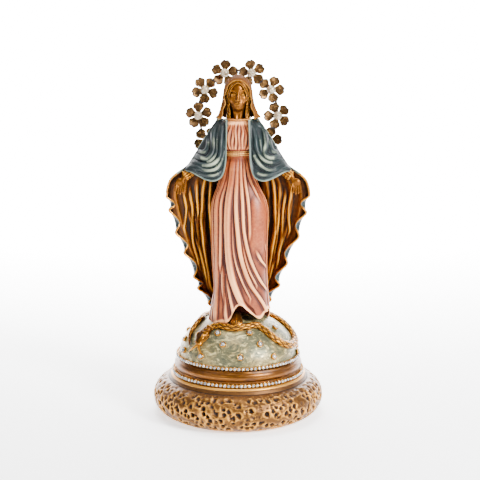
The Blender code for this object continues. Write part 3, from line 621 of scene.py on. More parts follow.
def make_plinth():
    profile = plinth_profile()
    rows = turned(profile, PLINTH_TURNS)
    obj = add_piece("plinth_ring", grid_mesh("plinth_ring", rows, wrap=True, caps=True))
    points = np.array([vert.co[:] for vert in obj.data.vertices])
    reach = np.hypot(points[:, 0], points[:, 1])
    roll = ramp(reach, STEP_RADIUS - 0.5 * MM, STEP_RADIUS + 1.5 * MM) * ramp(points[:, 2], 0.4 * MM, 2 * MM)
    keep(obj.data, "roll", roll * ramp(points[:, 2], 23.4 * MM, 22.6 * MM))
    keep(obj.data, "shoulder",
        ramp(points[:, 2], 17 * MM, 21.5 * MM) * ramp(points[:, 2], 24 * MM, 22.8 * MM))
    pit_recipe().cook(obj)
    obj.data.shade_smooth()
    return place(store_relief(obj, 4, 36), "plinth_gold", "plinth")


make_plinth()

# %% [markdown]
# ## The band between the chains
# A smooth bulging ring, painted gold over a red-brown ground and rubbed by hand, so the brush marks run round
# it and darker ground shows through in long patches. It was turned, then touched up, so it wobbles a little.

# %% The burnished band


def burnished_gold():
    finish = Finish("band_gold")
    drawn = finish.noise(7 * MM, 5.0, 0.6, 0.5, finish.stretched(0.55, 0.55, 2.2))
    strokes = finish.noise(2.2 * MM, 4.0, 0.6, 0.0, finish.stretched(0.16, 0.16, 3.0))
    speck = finish.noise(0.7 * MM, 3.0, 0.6)
    patch = finish.step(drawn + (strokes - 0.5) * 0.35, 0.50, 0.66)
    shine = finish.step(strokes + (drawn - 0.5) * 0.4, 0.52, 0.72)
    # painted shade: the band is darker where its surface dips inward, in the creases at its top and foot
    painted_crease_shade = finish.step(finish.relief("broad"), 0.0, -0.10)
    colour = finish.mix(shine * 0.7, (0.10, 0.033, 0.0030), (0.46, 0.165, 0.008))
    colour = finish.mix(patch * 0.8, colour, (0.020, 0.0062, 0.0017))
    colour = finish.mix(painted_crease_shade, colour, (0.008, 0.003, 0.001))
    colour = finish.mix(finish.step(speck, 0.62, 0.74) * 0.5, colour, (0.012, 0.004, 0.0014))
    height = strokes * 0.7 + drawn * 0.8 + speck * 0.3
    return finish.set(
        base_color=colour, metallic=0.82 - patch * 0.35, roughness=0.24 + patch * 0.2 + speck * 0.12,
        normal=finish.bump(height, 0.35, 0.25 * MM),
    )


band_low, band_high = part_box("base_band")
BAND_RADIUS = 0.75 * BASE_RADIUS
BAND_GOLD = burnished_gold()


def make_band():
    height = band_high.z - band_low.z
    bulge = (BAND_RADIUS - 4 * MM, band_low.z + 0.58 * height)
    top = (BAND_RADIUS - 2.2 * MM, band_high.z)
    foot = BAND_RADIUS - 0.5 * MM
    profile = line((0.2 * MM, band_high.z), top, 6) + arc((top[0], top[1] - 0.9 * MM), 0.9 * MM, 90, 20, 5)
    profile += arc(bulge, 4 * MM, 46, -40, 22) + line((foot, band_low.z + 2.4 * MM), (foot, band_low.z), 4)
    profile += line((foot, band_low.z), (0.2 * MM, band_low.z), 4)
    rows = turned(profile, 320)
    turn = np.arange(rows.shape[1]) * math.tau / rows.shape[1]
    wobble = 0.10 * np.sin(3 * turn + 1) + 0.07 * np.sin(7 * turn) + 0.05 * np.sin(12 * turn + 2)
    rows[..., :2] *= 1 + (wobble * MM / BAND_RADIUS)[None, :, None]
    obj = add_piece("bulging_band", grid_mesh("bulging_band", rows, wrap=True, caps=True), BAND_GOLD)
    return place(store_relief(obj, 4, 30), "band_gold", "base_band")


make_band()

# %% [markdown]
# ## Two rows of cup chain
# Cup chain is bought by the metre: a row of small stamped cups, each with a foiled glass stone held by four
# claws, joined by short links. One cup and one stone are enough; the recipe sets them round a circle, turns
# each a little so that the stones flash differently, and stores a tone on each one for the material to read.

# %% One cup, one stone, and the recipe for a row


def stone_mesh(radius, height):
    """A cut stone: a flat table, a ring of crown facets, and a girdle, like a small brilliant."""
    rings = []
    for share, lift, shift in ((0.52, 1.0, 0.0), (0.86, 0.62, 0.5), (1.0, 0.25, 0.0), (0.8, -0.3, 0.5)):
        turn = (np.arange(8) + shift) * math.tau / 8
        rings.append(np.stack([share * radius * np.cos(turn), share * radius * np.sin(turn),
                               np.full(8, lift * height)], axis=-1))
    return grid_mesh("stone", np.array(rings), wrap=True, caps=True)


def cup_mesh(radius, height, sides=12):
    """A stamped cup: a wall with four claws bent over the stone, on a flat floor."""
    turn = np.arange(sides) * math.tau / sides
    claw = np.array([1.0 if i % 3 == 0 else 0.0 for i in range(sides)])
    outline = ((0.35, 0.0, 0), (0.80, 0.0, 0), (0.98, 0.25, 0), (1.0, 0.62, 0.32), (0.86, 0.72, 0.42),
        (0.84, 0.45, 0))
    rings = []
    for share, lift, rise in outline:
        reach = radius * (share - claw * 0.16 * (rise > 0.4))
        up = height * (lift + rise * claw)
        rings.append(np.stack([reach * np.cos(turn), reach * np.sin(turn), up], axis=-1))
    return grid_mesh("cup", np.array(rings), wrap=True, caps=True)


def helper(name, mesh):
    """A shape that a recipe copies; it isn't part of the statue itself."""
    return add_piece(name, mesh)


def row_recipe():
    """Copies one shape round a circle, each copy facing outward and tipped up a little."""
    row = Recipe("row of cups", count=100, reach=40 * MM, level=38 * MM, tip=0.25, play=0.10, one=STUD_CUP,
                 paint=PLINTH_GOLD)
    dots = row.add("GeometryNodePoints", None, {"Count": row.given("count")})
    index = row.add("GeometryNodeInputIndex")
    turn = index * math.tau / row.given("count")
    side_x = row.add("ShaderNodeMath", {"operation": "COSINE"}, {0: turn})
    side_y = row.add("ShaderNodeMath", {"operation": "SINE"}, {0: turn})
    wave = row.add("ShaderNodeMath", {"operation": "SINE"}, {0: turn * 5.0}) * (0.16 * MM)
    reach = row.given("reach")
    spot = row.add("ShaderNodeCombineXYZ", None,
        {0: side_x * reach, 1: side_y * reach, 2: row.given("level") + wave})
    circle = row.add("GeometryNodeSetPosition", None, {0: dots, "Position": spot})
    chance = {"data_type": "FLOAT_VECTOR"}
    play = row.given("play")
    limits = {0: (-1.0, -1.0, -1.0), 1: (1.0, 1.0, 1.0), "Seed": 4}
    jitter = row.vector("SCALE", row.add("FunctionNodeRandomValue", chance, limits), play)
    square = row.add("ShaderNodeCombineXYZ", None, {0: 0.0, 1: math.pi / 2 - row.given("tip"), 2: turn})
    facing = row.vector("ADD", square, jitter)
    cups = row.add("GeometryNodeObjectInfo", None, {"Object": row.given("one")}, out="Geometry")
    set_out = row.add("GeometryNodeInstanceOnPoints", None,
        {"Points": circle, "Instance": cups, "Rotation": facing})
    tone = row.add("FunctionNodeRandomValue", {"data_type": "FLOAT"}, {2: 0.0, 3: 1.0, "Seed": 9}, out=1)
    keep_tone = {"domain": "INSTANCE", "data_type": "FLOAT"}
    toned = row.add("GeometryNodeStoreNamedAttribute", keep_tone, {0: set_out, "Name": "tone", "Value": tone})
    return row.finish(toned, "paint")


def chain_gold():
    finish = Finish("chain_gold")
    speck = finish.noise(0.5 * MM, 3.0, 0.6)
    dull = finish.step(finish.noise(3 * MM, 3.0, 0.6), 0.5, 0.66)
    tone = finish.relief("tone")
    colour = finish.mix(tone * 0.5 + speck * 0.3, (0.62, 0.28, 0.025), (0.22, 0.08, 0.007))
    colour = finish.mix(dull * 0.5, colour, (0.055, 0.022, 0.003))
    return finish.set(
        base_color=colour, metallic=0.96, roughness=0.17 + dull * 0.2 + speck * 0.1,
        normal=finish.bump(speck, 0.2, 0.08 * MM),
    )


def foiled_glass():
    finish = Finish("foiled_stone")
    tone = finish.relief("tone")
    # painted reflection: each facet cell is made bright or near black, as if it mirrored light or dark
    # surroundings
    facet = finish.cells(0.55 * MM)
    painted_facet_reflection = finish.step(facet + tone * 0.35, 0.30, 0.62)
    cool = finish.mix(tone, (0.90, 0.90, 0.86), (0.50, 0.56, 0.62))
    colour = finish.mix(painted_facet_reflection * 0.75, cool, (0.035, 0.038, 0.042))
    return finish.set(
        base_color=colour, metallic=0.7 - painted_facet_reflection * 0.3, roughness=0.05 + painted_facet_reflection * 0.06, coat_weight=1.0,
        coat_roughness=0.02, normal=finish.bump(facet, 0.25, 0.1 * MM),
    )


STONE_RADIUS = 1.0 * MM
CHAIN_GOLD = chain_gold()
STONE_GLASS = foiled_glass()
STUD_CUP = helper("one_cup", cup_mesh(1.22 * STONE_RADIUS, 1.0 * MM))
STUD_STONE = helper("one_stone", stone_mesh(0.98 * STONE_RADIUS, 0.75 * MM))
print("one cup:", len(STUD_CUP.data.polygons), "faces; one stone:", len(STUD_STONE.data.polygons), "faces")

# %% [markdown]
# ## The two chains
# On the real base two lengths of cup chain are glued into grooves: stamped cups, each gripping one stone, on
# a thin link. They could be modelled cup by cup, but they repeat at an even pitch. So one cup and one stone
# are drawn, and the recipe sets as many as fit round the ring, each a little out of true as glued trimming
# is.

# %% Set the two chains round the base


def make_chain(node, name):
    low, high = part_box(node)
    level = (low.z + high.z) / 2
    back = high.x - 1.75 * MM
    count = round(math.tau * (back + 0.8 * MM) / (2.6 * MM))
    recipe = row_recipe()
    cups = recipe.cook(empty_piece(name + "_cups"), count=count, reach=back, level=level, one=STUD_CUP,
                       paint=CHAIN_GOLD, tip=0.18, play=0.07)
    stones = recipe.cook(empty_piece(name + "_stones"), count=count, reach=back + 0.72 * MM, level=level,
                         one=STUD_STONE, paint=STONE_GLASS, tip=0.18, play=0.16)
    ring = turned(arc((back - 0.1 * MM, level), 0.62 * MM, 90, 450, 9)[:-1], 200)
    band_mesh = grid_mesh(name + "_links", np.concatenate([ring, ring[:1]]), wrap=True)
    links = add_piece(name + "_links", band_mesh, CHAIN_GOLD)
    keep(links.data, "tone", np.full(len(links.data.vertices), 0.5))
    place(cups, "chain_gold", node)
    place(stones, "crystal")
    place(links, "chain_gold")
    return count


for chain in ("lower_rhinestone_chain", "upper_rhinestone_chain"):
    print(chain, make_chain(chain, chain.split("_")[0] + "_chain"), "stones")

# %% [markdown]
# ## The felt pad
# A disc of felt under the base keeps it from scratching a shelf. It is hidden, so it is a guess, and a plain
# disc with a fibrous finish is enough.

# %% The felt pad


def felt():
    finish = Finish("felt_pad")
    fibre = finish.noise(0.35 * MM, 6.0, 0.7, 1.5)
    tuft = finish.noise(3 * MM, 4.0, 0.6)
    colour = finish.mix(fibre, (0.010, 0.007, 0.005), (0.028, 0.020, 0.014))
    colour = finish.mix(finish.step(tuft, 0.45, 0.7) * 0.5, colour, (0.007, 0.005, 0.0035))
    return finish.set(base_color=colour, roughness=0.92 + fibre * 0.06,
        normal=finish.bump(fibre, 0.6, 0.3 * MM))


pad = bpy.data.objects["base_pad"]
pad.data.materials.clear()
pad.data.materials.append(felt())
print("pad faces:", len(pad.data.polygons))
# %% [markdown]
# ## The globe
# A flattened dome, painted with pearl paint in dabs: grey-green, silver and a little blue, swept about with a
# brush while wet. Swirling noise, drawn out sideways and bent hard, gives those dabs, and the pearl comes
# from a part-metallic, lightly coated surface.

# %% Shape and paint the globe


def pearl_globe():
    finish = Finish("globe_pearl")
    drift = finish.noise(16 * MM, 3.0, 0.55, 0.6)
    swirl = finish.noise(8.5 * MM, 5.0, 0.62, 2.4, finish.stretched(0.8, 0.8, 1.5))
    dabs = finish.noise(3.6 * MM, 5.0, 0.66, 1.8, finish.stretched(0.7, 0.7, 1.3))
    speck = finish.noise(0.9 * MM, 4.0, 0.65)
    mist = finish.step(drift + (swirl - 0.5) * 0.8, 0.38, 0.62)
    colour = finish.mix(mist, (0.0878, 0.0854, 0.0427), (0.205, 0.154, 0.0589))
    light = finish.step(swirl + (dabs - 0.5) * 0.55, 0.53, 0.70)
    colour = finish.mix(light * 0.75, colour, (0.586, 0.495, 0.213))
    dark = finish.step(swirl + (dabs - 0.5) * 0.8, 0.46, 0.30)
    colour = finish.mix(dark * 0.72, colour, (0.0273, 0.0325, 0.0224))
    fleck = finish.step(dabs + (speck - 0.5) * 0.4, 0.61, 0.72)
    colour = finish.mix(fleck * 0.6, colour, (0.732, 0.615, 0.281))
    warm = finish.step(finish.noise(5 * MM, 4.0, 0.6, 1.0), 0.60, 0.72)
    colour = finish.mix(warm * 0.35, colour, (0.117, 0.064, 0.0196))
    return finish.set(
        base_color=colour, metallic=0.42, roughness=0.28 + dark * 0.14 + speck * 0.14 - light * 0.06,
        normal=finish.bump(dabs * 0.7 + swirl + speck * 0.2, 0.45, 0.35 * MM),
        specular_ior_level=0.35,
    )


def make_globe():
    turns, levels = ((300, 90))
    angles = np.linspace(90, 0, levels)
    profile = [(GLOBE_RADIUS * math.cos(a) + 1e-5, GLOBE_LEVEL + GLOBE_HEIGHT * math.sin(a))
        for a in np.radians(angles)]
    rows = turned(profile + [(GLOBE_RADIUS * 0.5, GLOBE_LEVEL)], turns)
    turn = np.arange(turns) * math.tau / turns
    wobble = 0.12 * np.sin(2 * turn + 0.6) + 0.08 * np.sin(5 * turn)
    rows[..., :2] *= 1 + (wobble * MM / GLOBE_RADIUS)[None, :, None]
    obj = add_piece("globe_dome", grid_mesh("globe_dome", rows, wrap=True, caps=True), pearl_globe())
    return place(store_relief(obj, 4, 20), "globe_pearl", "globe")


def globe_place(azimuth, reach, lift=0.0):
    """Points over the globe: azimuth in degrees from the front toward +X, reach as a share of its radius."""
    turn = np.radians(azimuth)
    reach = np.asarray(reach, float)
    up = GLOBE_HEIGHT * np.sqrt(np.maximum(0.0, 1 - reach * reach))
    slope = unit(np.stack([reach / GLOBE_RADIUS, up / GLOBE_HEIGHT**2], axis=-1))
    out = reach * GLOBE_RADIUS + slope[..., 0] * lift
    up = up + slope[..., 1] * lift
    return np.stack([out * np.sin(turn), -out * np.cos(turn), GLOBE_LEVEL + up], axis=-1)


make_globe()

# %% [markdown]
# ## Crystal studs on the globe
# Each stud is a single stone in its own stamped cup, pressed on and glued. They stand square on the dome, so
# a recipe turns each copy to the direction in which the dome faces at its place, which for a flattened dome
# is the place divided by the squares of its radius and height.

# %% Scatter the studs


def stud_recipe():
    recipe = Recipe("studs on a dome", radius=GLOBE_RADIUS, height=GLOBE_HEIGHT, level=GLOBE_LEVEL, play=0.22,
                    size=1.0, one=STUD_CUP, paint=CHAIN_GOLD)
    spot = recipe.add("GeometryNodeInputPosition")
    floor = recipe.add("ShaderNodeCombineXYZ", None, {2: recipe.given("level")})
    flat = 1.0 / (recipe.given("radius") * recipe.given("radius"))
    tall = 1.0 / (recipe.given("height") * recipe.given("height"))
    squares = recipe.add("ShaderNodeCombineXYZ", None, {0: flat, 1: flat, 2: tall})
    outward = recipe.vector("NORMALIZE",
        recipe.vector("MULTIPLY", recipe.vector("SUBTRACT", spot, floor), squares))
    chance = {"data_type": "FLOAT_VECTOR"}
    limits = {0: (-1.0, -1.0, -1.0), 1: (1.0, 1.0, 1.0), "Seed": 2}
    jitter = recipe.vector("SCALE", recipe.add("FunctionNodeRandomValue", chance, limits),
        recipe.given("play"))
    leaning = recipe.vector("ADD", outward, jitter)
    facing = recipe.add("FunctionNodeAlignRotationToVector", {"axis": "Z"}, {"Vector": leaning})
    copies = recipe.add("GeometryNodeObjectInfo", None, {"Object": recipe.given("one")}, out="Geometry")
    dots = recipe.add("GeometryNodeMeshToPoints", None, {0: recipe.given("Shape")})
    inputs = {"Points": dots, "Instance": copies, "Rotation": facing, "Scale": recipe.given("size")}
    stood = recipe.add("GeometryNodeInstanceOnPoints", None, inputs)
    tone = recipe.add("FunctionNodeRandomValue", {"data_type": "FLOAT"}, {2: 0.0, 3: 1.0, "Seed": 5}, out=1)
    keep_tone = {"domain": "INSTANCE", "data_type": "FLOAT"}
    toned = recipe.add("GeometryNodeStoreNamedAttribute", keep_tone,
        {0: stood, "Name": "tone", "Value": tone})
    return recipe.finish(toned, "paint")


def stud_points(name, nodes, lift):
    places = []
    for node in nodes:
        low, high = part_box(node)
        middle = (low + high) / 2
        reach = min(math.hypot(middle.x, middle.y) / (GLOBE_RADIUS + 1.1 * MM), 0.995)
        azimuth = math.degrees(math.atan2(middle.x, -middle.y))
        places.append(globe_place(azimuth, reach, lift).tolist())
    mesh = bpy.data.meshes.new(name)
    mesh.from_pydata(places, [], [])
    return add_piece(name, mesh)


def make_studs():
    nodes = [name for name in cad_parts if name.startswith("crystal_stud")]
    recipe = stud_recipe()
    cups = recipe.cook(stud_points("stud_cups", nodes, 0.0), size=1.75, one=STUD_CUP, paint=CHAIN_GOLD)
    place(cups, "stud_gold", *nodes)
    stones = recipe.cook(stud_points("stud_stones", nodes, 1.05 * MM), size=1.55, one=STUD_STONE,
        paint=STONE_GLASS)
    place(stones, "crystal")
    print("studs:", len(nodes))


make_studs()
# %% [markdown]
# ## The snake
# The serpent lies round the foot of the figure: its head at the left front, its body passing under the toes,
# looping out over the right of the globe, round the back, and its tail coming forward again on the left. A
# modeller rolls a long taper and presses scales in it. Here a tube of points follows the route, always
# knowing which way is out from the globe, so the scales sit on its back and its belly stays flat on the
# globe.

# %% The snake's route and skin

SNAKE_RADIUS = 2.2 * MM
SNAKE_ROUTE = (
    (-44, 0.90), (-44, 0.80), (-43, 0.69), (-36, 0.60), (-24, 0.59), (-12, 0.61), (0, 0.612), (14, 0.59),
    (26, 0.57), (34, 0.61), (39, 0.69), (43, 0.79), (49, 0.872), (59, 0.925), (73, 0.945), (87, 0.935),
    (97, 0.89), (104, 0.805), (111, 0.72), (122, 0.655), (140, 0.63), (160, 0.63), (180, 0.63), (-160, 0.63),
    (-140, 0.63), (-120, 0.62), (-104, 0.60), (-92, 0.60), (-84, 0.65), (-76, 0.745), (-69, 0.83),
    (-62, 0.89),
    (-56, 0.93),
)
SNAKE_GIRTH = smooth_through((0, 0.95), (0.045, 0.98), (0.2, 1.03), (0.75, 0.97), (0.93, 0.62), (1, 0.12))


def snake_frame(samples):
    """Points along the route with its direction, the way out from the globe, and sideways."""
    azimuth, reach = np.array(SNAKE_ROUTE, float).T
    azimuth = np.degrees(np.unwrap(np.radians(azimuth)))
    steps = np.linspace(0, 1, len(azimuth))
    t = np.linspace(0, 1, samples)
    points = globe_place(smooth_through(*zip(steps, azimuth))(t), smooth_through(*zip(steps, reach))(t),
        0.5 * SNAKE_RADIUS)
    onward = unit(np.gradient(points, axis=0))
    squares = np.array([GLOBE_RADIUS**-2, GLOBE_RADIUS**-2, GLOBE_HEIGHT**-2])
    outward = unit((points - [0, 0, GLOBE_LEVEL]) * squares)
    outward = unit(outward - onward * (outward * onward).sum(axis=1, keepdims=True))
    return t, points, onward, outward, np.cross(onward, outward)


def make_snake():
    samples, around = ((1300, 56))
    t, points, onward, outward, aside = snake_frame(samples)
    along = np.concatenate([[0], np.cumsum(np.linalg.norm(np.diff(points, axis=0), axis=1))])
    turn = np.arange(around) * math.tau / around
    radius = SNAKE_RADIUS * SNAKE_GIRTH(t)[:, None]
    u = along[:, None] / (2.6 * MM)
    v = turn[None, :] * 10 / math.tau
    first, second = np.abs((u + v) % 2 - 1), np.abs((u - v) % 2 - 1)
    scales = 1 - np.maximum(first, second) ** 2
    back = ramp(np.sin(turn), -0.35, 0.25)[None, :]
    lumps = 0.16 * np.sin(along / (3.1 * MM)) + 0.12 * np.sin(along / (1.9 * MM) + 2)
    radius = radius * (1 + 0.10 * lumps[:, None] * back) + 0.42 * MM * (scales - 0.55) * back
    keel = 0.28 * MM * np.exp(-((turn[None, :] - math.pi / 2) / 0.3) ** 2)
    radius = radius + keel
    across = radius * np.cos(turn) * 1.04
    up = radius * np.sin(turn) * 0.92
    rows = points[:, None] + across[..., None] * aside[:, None] + up[..., None] * outward[:, None]
    obj = add_piece("snake_body", grid_mesh("snake_body", rows, wrap=True, caps=True), SNAKE_GOLD)
    print("snake, mm long:", round(along[-1] / MM))
    return place(store_relief(obj, 3, 14), "snake_gold", "snake")


make_snake()

# %% [markdown]
# ## The snake's head and tongue
# The head is a flat wedge, broad behind the eyes, with brow ridges, plates on its crown and the mouth a
# groove along each side. It points down the globe to the left, with the forked tongue lying on the paint.

# %% Shape the head


def snake_head():
    nose = globe_place(-45.5, 0.905, 2.6 * MM)
    neck = globe_place(-42.0, 0.655, 2.2 * MM)
    onward = unit(nose - neck)
    outward = unit(globe_place(-44, 0.80, 1 * MM) - globe_place(-44, 0.80))
    outward = unit(outward - onward * np.dot(outward, onward))
    aside = np.cross(onward, outward)
    length = np.linalg.norm(nose - neck)
    wide = smooth_through((0, 2.0), (0.2, 2.7), (0.45, 4.0), (0.62, 3.9), (0.85, 2.5), (0.97, 1.5), (1, 0.3))
    tall = smooth_through((0, 2.0), (0.25, 2.4), (0.5, 2.9), (0.7, 2.5), (0.88, 1.7), (0.97, 1.1), (1, 0.3))
    t = np.linspace(0, 1, 120)[:, None]
    turn = (np.arange(72) * math.tau / 72)[None, :]
    across = np.abs(np.cos(turn)) ** 0.8 * np.sign(np.cos(turn))
    up = np.abs(np.sin(turn)) ** 0.9 * np.sign(np.sin(turn))
    brow = 0.75 * np.exp(-((t - 0.6) / 0.10) ** 2 - ((np.abs(across) - 0.62) / 0.22) ** 2) * (up > 0)
    eye = 0.55 * np.exp(-((t - 0.66) / 0.045) ** 2 - ((np.abs(across) - 0.86) / 0.10) ** 2) * (up > 0)
    mouth = -0.55 * np.exp(-((up + 0.12) / 0.13) ** 2) * ramp(t, 0.35, 0.5)
    nostril = -0.3 * np.exp(-((t - 0.93) / 0.02) ** 2 - ((np.abs(across) - 0.45) / 0.15) ** 2) * (up > 0)
    plates = 0.30 * np.abs(np.sin(t * 17 + np.abs(across) * 2.5)) * ramp(up, 0.0, 0.5) * ramp(t, 0.62, 0.35)
    cheek = 0.30 * np.abs(np.sin(t * 12)) * ramp(up, 0.3, 0.0) * ramp(t, 0.6, 0.4)
    swell = (brow + eye + mouth + nostril + plates + cheek) * MM
    reach_x = (wide(t) * MM + swell) * across
    reach_up = (tall(t) * MM + swell) * up
    rows = (neck + onward * (t * length)[..., None] + aside * reach_x[..., None] + outward
        * reach_up[..., None])
    obj = add_piece("snake_head", grid_mesh("snake_head", rows, wrap=True, caps=True), SNAKE_GOLD)
    return place(store_relief(obj, 3, 14), "snake_gold")


def snake_tongue():
    """Two thin forks lying on the globe; each is a flat taper from the mouth to a curled tip."""
    forks = []
    for azimuths in ((-45, -48, -52, -56), (-45, -43, -40, -37)):
        reach = smooth_through((0, 0.89), (0.5, 0.935), (1, 0.965))
        azimuth = smooth_through(*zip(np.linspace(0, 1, 4), azimuths))
        t = np.linspace(0, 1, 40)
        lift = (1.0 - 0.5 * t + 0.4 * np.sin(t * math.pi)) * MM
        points = globe_place(azimuth(t), reach(t), lift)
        onward = unit(np.gradient(points, axis=0))
        outward = unit(globe_place(azimuth(t), reach(t), 2 * MM) - globe_place(azimuth(t), reach(t)))
        aside = np.cross(onward, outward)
        turn = np.arange(12) * math.tau / 12
        half = (1.25 - 0.85 * t)[:, None] * MM
        rows = points[:, None] + aside[:, None] * (half * np.cos(turn))[..., None]
        rows = rows + outward[:, None] * (half * 0.42 * np.sin(turn))[..., None]
        forks.append(add_piece("fork", grid_mesh("fork", rows, wrap=True, caps=True), SNAKE_GOLD))
    return join("snake_tongue", forks)


def join(name, parts):
    """Makes one piece of several, under a new name."""
    shape = bmesh.new()
    for part in parts:
        shape.from_mesh(part.data)
    mesh = bpy.data.meshes.new(name)
    shape.to_mesh(mesh)
    shape.free()
    for material in parts[0].data.materials:
        mesh.materials.append(material)
    for part in parts:
        bpy.data.objects.remove(part)
    mesh.shade_smooth()
    obj = bpy.data.objects.new(name, mesh)
    bpy.context.scene.collection.objects.link(obj)
    return obj


snake_head()
place(store_relief(snake_tongue(), 3, 10), "snake_gold")

# %% [markdown]
# ## The foot
# One bare foot comes forward out of the hem and treads on the snake. It is a rounded wedge with five toes,
# the big toe on the inner side, each toe a small bump parted from the next by a groove.

# %% Shape the foot


def make_foot():
    low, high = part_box("foot")
    middle = (low.x + high.x) / 2
    t = np.linspace(0, 1, 90)[:, None]
    turn = (np.arange(72) * math.tau / 72)[None, :]
    y = mixed(high.y, low.y - 0.6 * MM, t)
    half_width = smooth_through((0, 2.9), (0.5, 3.5), (0.78, 4.0), (0.93, 3.4), (1, 1.6))(t) * MM
    half_height = smooth_through((0, 3.4), (0.4, 2.9), (0.75, 1.9), (0.93, 1.45), (1, 0.5))(t) * MM
    level = smooth_through((0, 5.4), (0.5, 4.2), (0.8, 2.9), (1, 2.3))(t) * MM + FOOT_LEVEL
    across = np.cos(turn) * np.ones_like(t)
    up = np.sin(turn)
    toes = 0.75 * (np.abs(np.sin((across + 1) * 2.5 * math.pi / 1.0 / 1.0)) ** 0.7 - 0.55) * ramp(t, 0.74,
        0.86)
    tendon = 0.16 * np.cos(across * 8) * ramp(t, 0.2, 0.5) * ramp(t, 0.8, 0.7)
    nail = -0.12 * ramp(t, 0.93, 0.95)
    top = ramp(up, -0.1, 0.4)
    swell = (toes + tendon + nail) * MM * top
    slant = -across * 0.9 * MM * ramp(t, 0.7, 1.0)
    x = middle + half_width * across
    z = level + half_height * up + swell
    rows = np.stack([x, y + slant + 0 * x, z], axis=-1)
    obj = add_piece("bare_foot", grid_mesh("bare_foot", rows, wrap=True, caps=True), FIGURE_GOLD)
    return place(store_relief(obj, 3, 16), "figure_gold", "foot")


foot = make_foot()
# %% [markdown]
# ## The gown
# A sculptor sets the long folds of a skirt first, as lines that run from the belt to the hem, and only then
# models the cloth between them. Here each fold is such a line: its sideways place at a few heights, how wide
# it is and how far it stands out. The gown's skin takes the highest fold at every point, with a soft crease
# where two meet. The weight is on one leg, so a smooth knee shows on the other side with folds sweeping
# below.

# %% The gown's outline and its folds

HEM, NECKLINE, BELT = -10.0, 129.5, 109.5
GOWN_AXIS = -3.0
GOWN_FRONT = smooth_through(
    (HEM, 21), (6, 20), (20, 18.2), (39, 16.5), (59, 15), (79, 12.8), (94, 10.8), (109, 9), (119, 9.8),
    (NECKLINE, 6)
)
GOWN_SIDE = {
    LEFT: smooth_through(
        (HEM, 20), (4, 18.5), (21, 15.5), (40, 16.4), (60, 17), (79, 16.2), (88, 13), (94, 11), (109, 8.6),
        (119, 10.4), (126, 9), (NECKLINE, 6.6),
    ),
    RIGHT: smooth_through(
        (HEM, 22), (4, 21), (21, 19.2), (40, 18.5), (60, 18.8), (79, 18), (88, 13.5), (94, 11), (109, 8.6),
        (119, 10.4), (126, 9), (NECKLINE, 6.6),
    ),
}
SPINE = smooth_through(
    (HEM, 14.5), (9, 15.5), (29, 16.5), (49, 16.5), (69, 15.5), (89, 13.5), (109, 11), (119, 10), (131, 7.5)
)
HEM_RISE = smooth_through(
    (-180, 0), (-85, 3), (-55, 10), (-35, 12.5), (-16, 14.5), (-5, 22), (6, 24), (13, 21.5), (24, 18),
    (42, 14.7),
    (58, 18.5), (68, 19.5), (78, 19.0), (92, 19), (115, 10), (140, 3), (180, 0)
)
# Each fold: how far it stands out, its half width, and its sideways place at some heights.
FOLDS = (
    (1.1, 2.4, ((107, -7.6), (94, -10.2), (80, -15.6), (60, -16.4), (40, -15.6), (20, -15.2), (4, -17.5))),
    (1.5, 2.9, ((107, -6.5), (94, -8.5), (80, -13.0), (60, -13.6), (40, -13.4), (20, -13.8), (4, -14.9))),
    (1.1, 1.7, ((107, -4.8), (94, -6.5), (80, -10.3), (65, -10.8), (50, -11.2), (36, -11.6))),
    (2.2, 3.3, ((107, -2.8), (94, -3.7), (80, -5.8), (59, -6.6), (42, -5.6), (27, -2.5), (14, 3.2), (4, 12))),
    (0.8, 1.1, ((100, -2.0), (80, -3.4), (60, -3.6), (44, -2.2), (30, 2.2), (18, 8.0))),
    (1.8, 2.2, ((107, -0.6), (94, -0.8), (80, -1.2), (59, 0.0), (42, 2.4), (27, 7.8), (14, 15.8), (6, 19))),
    (0.9, 1.2, ((96, 0.5), (80, 0.8), (62, 1.8), (48, 3.6), (36, 7.0), (26, 12.0))),
    (1.6, 1.8, ((107, 1.4), (94, 1.7), (80, 2.6), (58, 4.0), (42, 8.0), (30, 13.4), (21, 18.8))),
    (1.3, 1.6, ((107, 3.3), (94, 4.1), (80, 6.2), (68, 7.2), (56, 7.6))),
    (1.0, 1.5, ((107, 5.2), (94, 7.3), (85, 11.2), (76, 15.4))),
    (0.9, 1.6, ((107, 6.8), (94, 10), (82, 16), (70, 18.4), (50, 18.6))),
    (1.3, 2.0, ((52, 10.2), (42, 14.4), (36, 18.3), (30, 20))),
    (0.9, 1.4, ((60, 15.5), (50, 17.4), (42, 19.4))),
    (1.1, 1.9, ((40, -9.6), (25, -9.8), (12, -8.4), (4, -7.5))),
    (1.0, 1.5, ((30, -6.8), (20, -5.2), (12, -3.6), (4, -2))),
)
GATHERS = (-7.4, -5.4, -3.3, -1.4, 0.7, 2.8, 4.7, 6.8)


def gown_skin(angle, height):
    """The gown's plain skin in figure units, without folds; angle 0 is the front, positive toward +X."""
    sine, cosine = np.sin(angle), np.cos(angle)
    side = np.where(sine < 0, GOWN_SIDE[LEFT](height), GOWN_SIDE[RIGHT](height))
    x = np.sign(sine) * side * np.abs(sine) ** 0.95
    front = -(GOWN_FRONT(height) + GOWN_AXIS)
    back = SPINE(height) - 1.4 - GOWN_AXIS
    y = GOWN_AXIS + np.where(cosine > 0, front, back) * np.abs(cosine) ** 0.95
    return np.stack([x, y, height + 0 * x], axis=-1)


